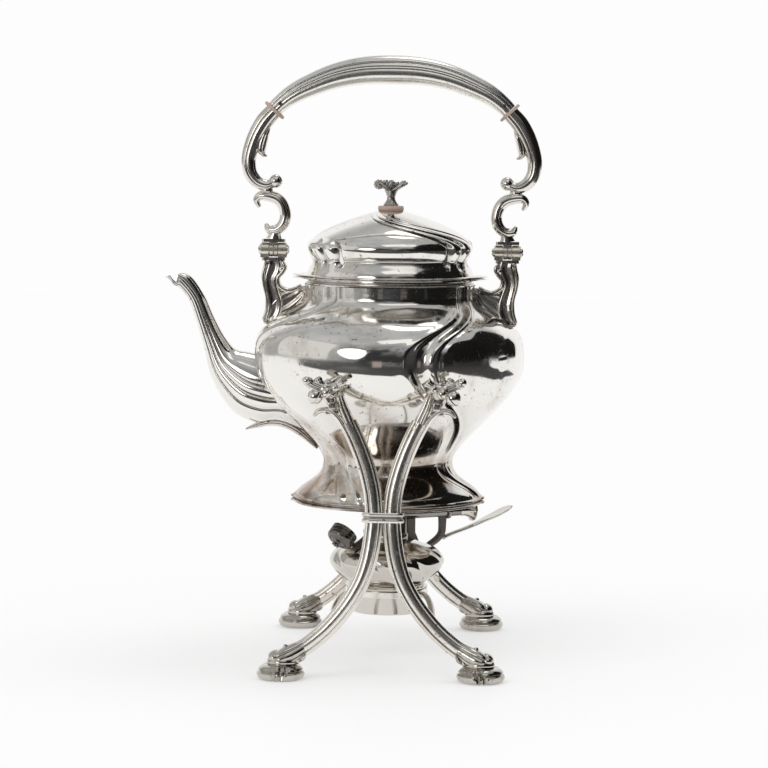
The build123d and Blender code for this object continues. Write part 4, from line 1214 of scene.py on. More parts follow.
@dataclass
class Socket:
    """A scrolled bracket on the shoulder that carries one hinge of the handle."""

    side: Side
    thickness: float = 9.0
    hinge_x: float = 72.0
    hinge_height: float = 250.0
    top: float = 243.35
    plate: float = 1.9
    stem: tuple = ((71.7, 243.65, 5.3), (71.3, 240.6, 5.5), (72.0, 237.2, 5.7), (73.6, 233.2, 4.9),
                   (73.6, 228.6, 4.8), (72.4, 223.6, 5.2), (71.0, 217.6, 5.8), (71.6, 211.6, 5.8),
                   (74.6, 206.6, 3.4))
    web: tuple = ((77.6, 205.6, 1.0), (74.4, 209.4, 3.6), (69.8, 213.6, 6.2), (64.6, 217.2, 7.6),
                  (59.4, 220.6, 6.2), (55.2, 224.0, 3.8), (52.6, 226.6, 1.8))
    edges: tuple = (((66.4, 242.6, 1.1), (64.9, 239.4, 1.5), (66.6, 236.0, 1.6), (69.2, 232.6, 1.5),
                     (68.3, 227.8, 1.5), (63.4, 225.0, 1.6), (58.8, 225.8, 1.6), (55.2, 228.0, 1.3)),
                    ((77.0, 242.6, 0.9), (77.2, 239.4, 1.2), (78.3, 234.6, 1.2), (77.8, 228.4, 1.2),
                     (75.9, 220.4, 1.2), (76.0, 213.2, 1.2), (78.0, 206.9, 0.9)),
                    ((52.2, 225.4, 1.0), (54.0, 219.6, 1.2), (57.4, 214.6, 1.2), (63.8, 208.6, 1.2),
                     (71.5, 205.4, 1.1), (77.2, 204.9, 0.8)))
    plate_size: tuple[float, float] = (14.4, 7.2)
    knuckle_pitch: float = 5.4
    knuckle_gap: float = 0.15
    knuckle_radius: float = 4.4

    def build(self) -> None:
        """Make the bracket, its hinge plate and its hinge."""
        way, deep = self.side.value, self.thickness / 2
        shape = Shape(f"socket_{self.side.name.lower()}")
        shape.bar(flat_path(self.stem, way, 6, deep), TO_BACK, dished(36, 0.62, 0.3, 2.3), 0.0, 1.0)
        shape.bar(flat_path(self.web, way, 6, deep - 0.5), TO_BACK, dished(36, 0.62, 0.36, 2.3), 0.6, 1.0)
        for rows in self.edges:
            path = [Station(Vector((way * x, 0, z)), r, deep if r > 1.25 else deep - 0.2)
                    for x, z, r in smooth_rows(rows, 5)]
            shape.bar(path, TO_BACK, reeds((), 0.0, 20, 3.0), 0.8, 0.8)
        shape.ball(Vector((way * 66.9, 0, 238.2)), 2.9, (1, 1.6, 1))
        self.hinge_plate(shape, self.top)
        name = f"handle_socket_{self.side.name.lower()}"
        shape.give(Body.KETTLE, ARM_SILVER, name, sharp=50, groove_scale=0.9)
        self.knuckles()

    def hinge_plate(self, shape: Shape, low: float) -> None:
        """A small rounded plate under or over the hinge.

        Args:
            shape: Shape that it is added to.
            low: Height of its underside.
        """
        middle = (self.side.value * self.hinge_x, 0, low + self.plate / 2)
        shape.block(Matrix.Translation(middle) @ Matrix.Diagonal((*self.plate_size, self.plate, 1)),
                    1.2, 4, upright=True)

    def knuckles(self) -> None:
        """The three knuckles of the hinge, each on its own body."""
        third, radius = self.knuckle_pitch, self.knuckle_radius
        half = (third - self.knuckle_gap) / 2
        lie = Matrix.Rotation(math.pi / 2, 4, "Y")
        name = self.side.name.lower()
        for label, body, offsets, way in ((f"fixed_knuckles_{name}", Body.KETTLE, (-third, third), -1),
                                          (f"swing_knuckle_{name}", Body.HANDLE, (0.0,), 1)):
            shape = Shape(f"{label}_barrel")
            for offset in offsets:
                across = self.side.value * self.hinge_x + offset
                place = Matrix.Translation((across, 0, self.hinge_height)) @ lie
                groove = [] if offset else [(radius, -0.35), (radius - 0.4, 0.0), (radius, 0.35)]
                shape.turned([(1.7, -half), (radius - 0.3, -half), (radius, -half + 0.3)] + groove
                             + [(radius, half - 0.3), (radius - 0.3, half), (1.7, half)], 40, place=place)
                web = (Matrix.Translation((across, 0, self.hinge_height + way * 2.4))
                       @ Matrix.Diagonal((2 * half, self.plate_size[1], 4.7, 1)))
                bmesh.ops.create_cube(shape.bm, size=1.0, matrix=web)
            shape.give(body, KNUCKLE_SILVER, label)


@dataclass
class Lid:
    """Domed lid with a smooth front and clusters of swept lobes at four corners."""

    base: float = 234.2
    rise: float = 40.4
    flange: float = 1.4
    centres: tuple[float, ...] = (64.0, 122.0, 244.0, 302.0)
    top_turn: float = -114.0
    steep: tuple[float, ...] = (-16.0, -2.0, 16.0)
    broad: tuple[float, ...] = (-22.0, 5.0, 20.0)
    cove_rise: float = 10.5
    shoulder_rise: float = 18.0
    foot_radius: float = 51.4
    cove_radius: float = 47.2
    shoulder_radius: float = 50.3
    crown_radius: float = 8.4
    groove_depth: float = 2.8
    lining: tuple = ((44.5, 1.5), (47.0, 12.0), (48.2, 18.0), (35.0, 28.0), (6.0, 37.0))
    washer: tuple = ((1.7, 0.0), (7.3, 0.0), (7.8, 0.5), (8.0, 1.6), (7.8, 2.7), (7.3, 3.2), (1.7, 3.2))
    stem: tuple = ((0.0, 0.0), (4.4, 0.0), (4.7, 0.9), (3.6, 2.2), (2.6, 3.8), (2.5, 5.4), (3.1, 7.2),
                   (4.2, 9.4), (0.0, 10.4))
    leaves: tuple = ((-96, 3.4, 9.6, 3.4), (-70, 3.8, 8.6, 3.0), (84, 3.3, 9.4, 2.9), (60, 2.8, 7.8, 2.6),
                     (120, 2.6, 7.6, 2.6), (10, 3.4, 5.0, 2.6), (180, 3.6, 5.0, 2.6))
    heads: tuple = (((-7.2, 0.0, 13.0), 3.3, 34), ((-3.4, -1.6, 13.8), 2.3, 16), ((7.6, 0.0, 13.9), 1.7, 14),
                    ((3.6, -1.0, 12.9), 2.0, 14))
    finial_height: float = 16.9
    golden_turn: float = 2.39996

    def radius(self, rise: float) -> float:
        """Radius of the lid's skin.

        Args:
            rise: Height above the flange.

        Returns:
            The radius.
        """
        cove, shoulder = self.cove_rise, self.shoulder_rise
        if rise <= cove:
            return between(self.foot_radius, self.cove_radius, ease(rise / cove, 1.3))
        if rise <= shoulder:
            share = math.sin((rise - cove) / (shoulder - cove) * math.pi / 2)
            return between(self.cove_radius, self.shoulder_radius, share)
        share = ((rise - shoulder) / (self.rise - shoulder)) ** 1.9
        return between(self.shoulder_radius, self.crown_radius, share)

    def relief(self, turn: float, rise: float) -> float:
        """How far the lobes and grooves of the clusters stand out.

        Args:
            turn: Degrees, already turned back with the sweep.
            rise: Height above the flange.

        Returns:
            Millimetres, outward.
        """
        index, past = nearest(turn, self.centres)
        swept = index % 2 == 0
        grooves = self.steep if swept else self.broad
        out = 0.0
        for groove in grooves:
            out -= self.groove_depth * bump(past - groove, 2.1)
        for low, high in zip(grooves, grooves[1:]):
            middle, half = (low + high) / 2, (high - low) / 2
            share = (past - middle) / half
            if abs(share) < 1:
                out += (2.0 if swept else 2.7) * math.sqrt(1 - share * share)
        shoulder = ease((rise - 4.0) / 8.0)
        if swept:
            shoulder *= 1 - 0.3 * ease((rise - 22.0) / 10.0)
            return out * shoulder * (1 - ease((rise - 34.0) / 6.0))
        return out * shoulder * (1 - ease((rise - 20.5) / 4.0))

    def build(self) -> None:
        """Make the lid, its washer and its finial."""
        kettle = Kettle()
        shape = Shape("lid_dome")
        kettle.plate_ring(shape, self.base + 0.05, self.base + self.flange, 45.85, 0.4)
        rises = (steps(self.flange, self.cove_rise, 18) + steps(self.cove_rise, self.shoulder_rise, 14)[1:]
                 + steps(self.shoulder_rise, self.rise, 60)[1:])
        profile = [(self.radius(rise), rise) for rise in rises] + [(1.7, self.rise)]

        def warp(spot: Vector) -> Vector:
            """Wind the lobes over the lid and lift it to its place.

            Args:
                spot: A place on the turned form.

            Returns:
                Where it goes.
            """
            turn = math.degrees(math.atan2(spot.y, spot.x)) % 360
            rise = spot.z
            reach = spot.xy.length
            inward = min(1.0, max(0.0, (self.shoulder_radius - reach) / 42.0))
            if rise <= self.shoulder_rise:
                inward = 0.0
            relief = self.relief(turn, rise) if reach > 5 else 0.0
            return spot_round(reach + relief, turn + self.top_turn * inward, self.base + rise)

        shape.turned(profile, 540, warp)
        shape.turned([(radius, self.base + up) for radius, up in self.lining], 96)
        shape.give(Body.LID, SILVER, "lid", sharp=60)
        washer = Shape("lid_washer")
        low = self.base + self.rise
        washer.turned([(radius, low + up) for radius, up in self.washer], 64)
        washer.give(Body.LID, INSULATOR, "finial_washer")
        self.build_finial(low + self.washer[-1][1])

    def build_finial(self, base: float) -> None:
        """A knop of opening leaves on a short stem.

        Args:
            base: Height of its foot.
        """
        shape = Shape("finial_leaves")
        shape.turned([(radius, base + up) for radius, up in self.stem], 40)
        for turn, lift, reach, wide in self.leaves:
            heading = Matrix.Rotation(math.radians(turn - 90), 4, "Z")
            path = [Station(heading @ Vector((share * reach, 0, base + 6.4 + lift * 2.3 * share ** 0.55)),
                            wide * (0.4 + 0.6 * math.sin(0.5 + share * 2.2)), 1.1)
                    for share in steps(0.05, 1.0, 12)]
            shape.bar(path, heading.to_3x3() @ Vector((-0.5, 0.0, 0.86)), reeds((-0.5, 0.0, 0.5), 0.5, 5),
                      0.4, 1.0)
        for (x, y, up), size, count in self.heads:
            middle = Vector((x, y, base + up))
            shape.ball(middle, size * 0.86, (1.05, 0.95, 0.86), 16)
            for k in range(count):
                high = 1 - 2 * (k + 0.5) / count
                wide = math.sqrt(1 - high * high)
                angle = k * self.golden_turn
                bead = Vector((wide * math.cos(angle) * 1.05, wide * math.sin(angle) * 0.95, high * 0.86))
                shape.ball(middle + bead * size * 0.84, 0.78, fine=10)
        for vert in shape.bm.verts:
            vert.co.z = min(vert.co.z, base + self.finial_height)
        shape.give(Body.LID, FINIAL_SILVER, "finial", sharp=50)


@dataclass
class Handle:
    """Reeded swing handle between two cast arms."""

    bow: tuple = ((72.9, 334.9, 5.3), (78.2, 329.0, 5.5), (82.2, 322.6, 5.3), (85.0, 316.6, 5.0),
                  (87.4, 309.0, 4.7), (88.0, 303.6, 4.5), (87.0, 297.6, 4.3), (84.3, 293.2, 4.1),
                  (80.6, 290.4, 3.8), (76.4, 289.6, 3.4), (72.6, 291.0, 2.9))
    scroll: tuple = ((81.4, 276.6, 1.4), (83.0, 280.2, 2.2), (80.4, 283.0, 3.0), (75.6, 283.0, 3.5),
                     (70.4, 281.4, 3.7), (66.8, 277.8, 3.6), (65.0, 271.8, 3.6), (65.7, 267.2, 3.6),
                     (68.0, 263.7, 3.5), (71.6, 261.9, 3.2), (75.2, 262.4, 2.6), (76.8, 265.2, 1.4))
    cusp: tuple = ((75.4, 325.6, 1.0), (77.6, 321.0, 2.4), (79.4, 316.0, 3.0), (80.2, 311.4, 2.8),
                   (79.0, 308.4, 1.6), (77.4, 307.6, 0.7))
    foot: tuple = ((70.4, 264.5, 3.2), (71.2, 260.0, 3.6), (71.8, 256.4, 5.0))
    grip: tuple = ((71.8, 336.5, 5.2, 5.0), (68.5, 339.8, 5.5, 5.2), (62.0, 344.9, 6.1, 5.7),
                   (53.0, 349.8, 6.8, 6.3), (36.2, 356.5, 7.8, 7.1), (18.8, 360.2, 8.5, 7.7),
                   (0.0, 361.1, 8.9, 8.0))
    ring_length: float = 1.9
    plate_low: float = 254.75
    depth: float = 4.6

    def build(self) -> None:
        """Make the grip, its rings and both arms."""
        rows = list(self.grip) + [(-x, z, w, d) for x, z, w, d in reversed(self.grip[:-1])]
        grip = Shape("handle_grip_bar")
        grip.bar(flat_path(rows, parts=10), TO_BACK, reeds((-0.5, -0.08), 0.22, 16, 2.0))
        grip.give(Body.HANDLE, GRIP_SILVER, "handle_grip", groove_scale=1.0)
        for side in Side:
            self.build_ring(side)
            self.build_arm(side)

    def build_ring(self, side: Side) -> None:
        """An oval insulating ring between grip and arm.

        Args:
            side: Which end of the grip.
        """
        name = side.name.lower()
        first, second = (Vector((x, 0, z)) for x, z, _ in self.bow[:2])
        heading = (first - second).normalized()
        ring = Shape(f"insulating_ring_{name}_oval")
        rows = []
        for share, small in ((0.0, 0.93), (0.25, 1.0), (0.75, 1.0), (1.0, 0.93)):
            spot = first + heading * self.ring_length * share
            rows.append(Station(Vector((side.value * spot.x, 0, spot.z)), 7.55 * small, 7.6 * small))
        ring.bar(rows, TO_BACK, oval(40))
        ring.give(Body.HANDLE, INSULATOR, f"insulating_ring_{name}")

    def build_arm(self, side: Side) -> None:
        """One cast arm: bow, ball ends, scroll and hinge plate.

        Args:
            side: Which end of the handle.
        """
        way, name = side.value, side.name.lower()
        shape = Shape(f"handle_arm_{name}_scrolls")
        shape.bar(flat_path(self.bow, way, 8, self.depth), TO_BACK, reeds((-0.3,), 0.14, 20, 2.0), 0.0, 1.5)
        shape.bar(flat_path(self.scroll, way, 8, self.depth), TO_BACK, reeds((0.36,), 0.12, 20, 2.0),
                  1.0, 1.0)
        shape.ball(Vector((way * 71.2, 0, 292.1)), 4.3, (1, 1.05, 1))
        shape.ball(Vector((way * 76.6, 0, 286.4)), 3.0, (1.3, 1.2, 1))
        shape.bar(flat_path(self.cusp, way, 6, 3.2), TO_BACK, reeds((0.1,), 0.2, 11), 0.8, 0.8)
        shape.bar(flat_path(self.foot, way, 5, 3.4), TO_BACK, oval(28))
        Socket(side=side).hinge_plate(shape, self.plate_low)
        shape.give(Body.HANDLE, ARM_SILVER, f"handle_arm_{name}", sharp=50, groove_scale=0.9)


# ---------------------------------------------------------------- the stand
@dataclass
class Frame:
    """The leaning plane that a pair of legs lies in, at the front."""

    foot_y: float = 96.5
    top_y: float = 80.0
    top_height: float = 166.0

    def depth(self, height: float) -> float:
        """How far the frame stands in front of the kettle's axis.

        Args:
            height: Height above the table.

        Returns:
            The distance.
        """
        return self.foot_y - height * (self.foot_y - self.top_y) / self.top_height

    def normal(self) -> Vector:
        """Direction that the frame faces, towards the front.

        Returns:
            A unit vector.
        """
        return Vector((0, -self.top_height, self.foot_y - self.top_y)).normalized()

    def path(self, rows: Sequence[Point], parts: int = 6, proud: float = 0.0) -> list[Station]:
        """Stations along (x, z, half width, half depth) rows in the frame.

        Args:
            rows: The rows.
            parts: Pieces that each span is cut into.
            proud: How far in front of the frame's middle the path runs.

        Returns:
            The stations.
        """
        return [Station(Vector((x, -self.depth(z) - proud, z)), wide, deep)
                for x, z, wide, deep in smooth_rows(rows, parts)]


def corner_matrix(side: Side, face: Face) -> Matrix:
    """Mirror a front heel-side form to one of the four corners.

    Args:
        side: Which end.
        face: Which frame.

    Returns:
        The matrix.
    """
    return Matrix.Diagonal((side.value, -face.value, 1, 1))


@dataclass
class Stand:
    """Two leaning leg frames on shell feet, tied by the burner's carrier."""

    frame: Frame = field(default_factory=Frame)
    leg: tuple = ((50.5, 15.8), (42.6, 20.6), (31.6, 30.2), (20.8, 43.2), (13.0, 56.6), (8.6, 69.4),
                  (6.3, 82.4), (5.35, 95.5), (6.2, 108.4), (8.9, 120.6), (12.6, 131.9), (16.9, 142.2),
                  (21.4, 151.2))
    inner: tuple = ((13.4, 133.4, 0.6, 1.2), (15.8, 139.8, 1.6, 2.4), (17.6, 144.0, 2.6, 3.2),
                    (19.2, 148.0, 3.2, 3.6), (21.9, 154.4, 3.2, 3.6), (24.6, 160.6, 3.0, 3.6),
                    (26.4, 166.2, 2.4, 3.4))
    outer: tuple = ((17.6, 136.5, 0.7, 1.6), (20.4, 142.6, 1.5, 2.6), (23.0, 147.4, 1.9, 3.2),
                    (26.8, 153.4, 1.9, 3.2), (31.2, 157.4, 1.9, 3.2), (35.4, 158.7, 1.8, 3.0),
                    (39.2, 157.8, 1.6, 2.8), (41.4, 155.6, 1.1, 2.2))
    leg_half: tuple[float, float] = (5.3, 3.6)
    band_height: float = 95.5
    pad_x: float = 59.2
    pad_y: float = 96.5
    pad_radius: float = 14.3
    pad_height: float = 8.4
    band_core: float = 7.3
    band_ring: tuple = ((10.9, -3.1), (12.0, -3.0), (12.6, -2.3), (12.7, -1.6), (12.3, -0.8), (11.6, -0.35),
                        (11.6, 0.35), (12.3, 0.8), (12.7, 1.6), (12.6, 2.3), (12.0, 3.0), (10.9, 3.1),
                        (10.9, -3.1))
    cuff: tuple = ((42.4, 20.9, 4.2, 2.8), (46.6, 18.0, 5.1, 3.9), (51.0, 15.4, 5.8, 5.6),
                   (55.4, 13.2, 6.2, 7.4), (59.8, 11.4, 5.4, 7.8), (63.4, 10.4, 3.8, 6.6))
    horn: tuple = ((54.0, 15.6, 2.4, 2.6), (55.6, 17.2, 2.0, 2.1), (56.4, 18.8, 1.5, 1.6),
                   (56.3, 20.0, 1.2, 1.3))
    fold_starts: tuple[float, ...] = (44.6, 47.8, 51.0, 54.2)
    ring_profile: tuple = ((22.15, 37.6), (22.5, 37.4), (24.8, 37.4), (25.35, 37.9), (25.35, 41.1),
                           (24.8, 41.6), (22.5, 41.6), (22.15, 41.4), (22.15, 37.6))
    carrier_arm: tuple = ((16.8, 16.8, 39.5), (24.5, 42.0, 42.7), (28.8, 68.0, 40.1), (30.2, 90.2, 33.1))
    carrier_radius: float = 1.85

    def build(self) -> None:
        """Make legs, bands, feet and the burner's carrier."""
        for face in Face:
            for side in Side:
                self.build_leg(side, face)
                self.build_pad(side, face)
            self.build_band(face)
        self.build_cuffs()
        self.build_carrier()

    @staticmethod
    def place(shape: Shape, side: Side, face: Face) -> None:
        """Move a front heel-side shape to its corner.

        Args:
            shape: The shape.
            side: Which end.
            face: Which frame.
        """
        shape.move(corner_matrix(side, face))

    def build_leg(self, side: Side, face: Face) -> None:
        """One reeded leg that forks under the pivot.

        Args:
            side: Which end.
            face: Which frame.
        """
        shape = Shape(f"leg_{face.name.lower()}_{side.name.lower()}_reeds")
        normal = self.frame.normal()
        rows = [(x, z, *self.leg_half) for x, z in self.leg]
        shape.bar(self.frame.path(rows, 9), normal, reeds((-0.52, 0.5), 0.26, 14, 2.7))
        shape.bar(self.frame.path(self.inner, 6), normal, reeds((0.0,), 0.25, 12, 2.4), 3.0, 2.2)
        shape.bar(self.frame.path(self.outer, 7), normal, reeds((0.0,), 0.2, 10, 2.2), 3.0, 1.2)
        shape.block(Matrix.Translation((31.0, -self.frame.depth(158.0), 157.4))
                    @ Matrix.Diagonal((8.2, 5.6, 3.4, 1)), 0.6, 3)
        self.place(shape, side, face)
        shape.give(Body.STAND, STAND_SILVER, f"leg_{face.name.lower()}_{side.name.lower()}", sharp=60,
                   groove_scale=0.6)

    def build_band(self, face: Face) -> None:
        """The double ring that ties two legs.

        Args:
            face: Which frame.
        """
        shape = Shape(f"leg_band_{face.name.lower()}_rings")
        low_y = self.frame.depth(self.band_height)
        tilt = math.atan2(self.frame.foot_y - self.frame.top_y, self.frame.top_height)
        place = Matrix.Translation((0, -low_y, self.band_height)) @ Matrix.Rotation(-tilt, 4, "X")

        def warp(spot: Vector) -> Vector:
            """Stretch the band sideways round two legs.

            Args:
                spot: A place on the turned form.

            Returns:
                Where it goes.
            """
            reach = spot.xy.length
            across = Vector((spot.x, spot.y, 0)) / reach
            return Vector((math.copysign(self.band_core, across.x) + across.x * (reach - self.band_core),
                           across.y * (reach - self.band_core), spot.z))

        shape.turned(self.band_ring, 72, warp, place)
        self.place(shape, Side.HEEL, face)
        shape.give(Body.STAND, STAND_SILVER, f"leg_band_{face.name.lower()}")

    def build_pad(self, side: Side, face: Face) -> None:
        """A round pad with a notched front edge.

        Args:
            side: Which end.
            face: Which frame.
        """
        radius, top = self.pad_radius, self.pad_height
        shape = Shape(f"foot_pad_{face.name.lower()}_{side.name.lower()}_disc")
        profile = [(0.0, 0.0), (radius - 2.6, 0.0), (radius - 0.9, 1.0), (radius, 3.0), (radius - 0.2, 4.3),
                   (radius - 1.4, 5.0), (radius - 1.6, 5.4), (radius - 1.0, 6.0), (radius - 1.6, 7.0),
                   (radius - 3.4, top), (0.0, top)]

        def warp(spot: Vector) -> Vector:
            """Cut the notches in the pad's front edge.

            Args:
                spot: A place on the turned form.

            Returns:
                Where it goes.
            """
            reach = spot.xy.length
            if reach < radius - 5:
                return spot
            turn = math.degrees(math.atan2(spot.x, -spot.y)) + spot.z * 3.0
            cut = sum(bump(turn - at, 3.6) for at in (2.0, 18.0))
            return spot * ((reach - 2.0 * cut) / reach) + Vector((0, 0, spot.z * 2.0 * cut / reach))

        shape.turned(profile, 180, warp, Matrix.Translation((self.pad_x, -self.pad_y, 0)))
        self.place(shape, side, face)
        shape.give(Body.STAND, FOOT_SILVER, f"foot_pad_{face.name.lower()}_{side.name.lower()}",
                   groove_scale=1.8)

    def build_cuffs(self) -> None:
        """The shells on the pads, each with a curled horn and a leaf."""
        shape = Shape("foot_shells")
        normal = self.frame.normal()
        shape.bar(self.frame.path(self.cuff, 8), normal, reeds((-0.5, 0.35), 0.16, 12, 2.2), 0.6, 1.6)
        deep = self.frame.depth(13.0)
        shell = shape.ball(Vector((58.6, -deep, 9.6)), 1.0, (9.0, 8.4, 5.0), 72)
        for vert in shell:
            turn = math.atan2(vert.co.z - 8.0, vert.co.y + deep)
            spread = Vector((0, (vert.co.y + deep) * 0.07, (vert.co.z - 8.0) * 0.09))
            vert.co += spread * abs(math.sin(turn * 4.0))
        shape.ball(Vector((62.2, -deep, 12.8)), 4.5, (1.05, 1.4, 0.95), 28)
        shape.ball(Vector((63.0, -deep - 4.8, 12.6)), 2.4, (1.2, 0.9, 1.1), 20)
        shape.bar(self.frame.path(self.horn, 5, 1.6), normal, oval(20), 0.4, 0.5)
        for at in self.fold_starts:
            past = at - self.fold_starts[0]
            fold = ((at, 24.6 - past * 0.62 - 9.0, 0.9, 2.4), (at + 1.6, 22.2 - past * 0.62 - 9.6, 1.7, 3.4),
                    (at + 3.4, 20.0 - past * 0.55 - 9.4, 0.8, 2.2))
            shape.bar(self.frame.path(fold, 4, 1.2), normal, oval(16), 0.5, 0.6)
        for vert in shape.bm.verts:
            vert.co.z = max(vert.co.z, self.pad_height - 0.1)
        self.place(shape, Side.HEEL, Face.FRONT)
        shape.copies(corner_matrix(Side.SPOUT, Face.FRONT), corner_matrix(Side.HEEL, Face.BACK),
                     corner_matrix(Side.SPOUT, Face.BACK))
        shape.give(Body.STAND, FOOT_SILVER, "foot_cuffs", groove_scale=1.8)

    def build_carrier(self) -> None:
        """The ring that the burner hangs in and its four arms."""
        shape = Shape("burner_carrier_ring")
        shape.turned(self.ring_profile, 96)
        for side in Side:
            for face in Face:
                path = [Station(Vector((x * side.value, y * face.value, z)), self.carrier_radius,
                                self.carrier_radius) for x, y, z in smooth_rows(self.carrier_arm, 7)]
                shape.bar(path, UPWARD, oval(20))
        shape.give(Body.STAND, STAND_SILVER, "burner_carrier")


@dataclass
class Knot:
    """A pin through a leg's fork and the twig-and-berry knot on the kettle beside it."""

    side: Side
    face: Face
    frame: Frame = field(default_factory=Frame)
    pin_x: float = 31.0
    pin_z: float = 161.5
    pin_profile: tuple = ((0.0, -13.8), (2.1, -13.8), (2.25, -13.5), (2.25, 0.2), (0.0, 0.2))
    socket_x: float = 35.5
    socket_z: float = 171.0
    lug: tuple = ((-9.2, 1.4), (-8.2, 3.0), (-6.0, 4.1), (0, 4.2), (6.0, 4.1), (8.2, 3.0), (9.2, 1.4))
    twigs: tuple = (((29.8, 167.6, 2.7), (33.4, 170.0, 3.1), (38.0, 172.4, 3.1), (42.2, 174.0, 2.6),
                     (44.4, 175.0, 3.1), (45.8, 175.8, 2.9)),
                    ((33.6, 171.6, 2.6), (30.0, 172.6, 2.4), (27.2, 174.4, 2.3), (25.8, 175.4, 2.8),
                     (25.0, 176.0, 2.6)),
                    ((36.6, 172.6, 2.4), (38.2, 175.0, 2.2), (39.2, 176.6, 2.6), (39.8, 177.6, 2.4)))
    berries: tuple = ((40.8, 167.0, 4.6), (34.2, 169.4, 3.2), (29.2, 172.2, 2.3), (46.0, 176.2, 2.7))
    berry_ring: tuple = ((0.9, -0.35), (1.06, 0.0), (0.9, 0.35), (0.8, 0.0), (0.9, -0.35))

    def build(self) -> None:
        """Make the pin and the knot."""
        label = f"{self.face.name.lower()}_{self.side.name.lower()}"
        deep = self.frame.depth(self.pin_z) + 3.6
        pin = Shape(f"pivot_pin_{label}_head")
        facing = Matrix.Rotation(math.pi / 2, 4, "X")
        pin.turned(self.pin_profile, 32, place=Matrix.Translation((self.pin_x, -deep, self.pin_z)) @ facing)
        pin.block(Matrix.Translation((self.pin_x, -deep - 1.2, self.pin_z)) @ Matrix.Rotation(0.12, 4, "Y")
                  @ Matrix.Diagonal((4.3, 1.9, 4.3, 1)), 0.5, 3)
        Stand.place(pin, self.side, self.face)
        pin.give(Body.PINS, STAND_SILVER, f"pivot_pin_{label}")
        knot = Shape(f"pivot_knot_{label}")
        front = deep + 0.4
        axis = Vector((self.socket_x - self.pin_x, 0, self.socket_z - self.pin_z)).normalized()
        mid = Vector(((self.pin_x + self.socket_x) / 2, -self.frame.depth(self.pin_z) + 3.6 + 0.4,
                      (self.pin_z + self.socket_z) / 2))
        lug = [Station(mid + axis * at + Vector((0, 4.6, 0)), wide, 4.5) for at, wide in self.lug]
        knot.bar(lug, TO_FRONT, reeds((), 0.0, 20, 3.5))
        knot.bar([Station(Vector((self.socket_x, -front + y, self.socket_z)), 3.3, 3.3)
                  for y in steps(9.0, -2.2, 8)], UPWARD, oval(24), 0.0, 2.0)
        stick = front + 0.6
        for rows in self.twigs:
            path = [Station(Vector((x, -stick, z)), w, w) for x, z, w in smooth_rows(rows, 5)]
            knot.bar(path, TO_FRONT, reeds((-0.35, 0.3), 0.14, 8, 2.0), 0.8, 0.8)
        tilt = Matrix.Rotation(math.radians(55), 4, "Y") @ Matrix.Rotation(math.radians(24), 4, "X")
        for x, z, radius in self.berries:
            knot.ball(Vector((x, -front - 3.0, z)), radius, (1, 0.9, 1), fine=28)
            knot.turned([(radius * share, up) for share, up in self.berry_ring], 28,
                        place=Matrix.Translation((x, -front - 3.0, z)) @ tilt)
        Stand.place(knot, self.side, self.face)
        knot.give(Body.KETTLE, KNOT_SILVER, f"pivot_lug_{label}", sharp=55, groove_scale=1.5)


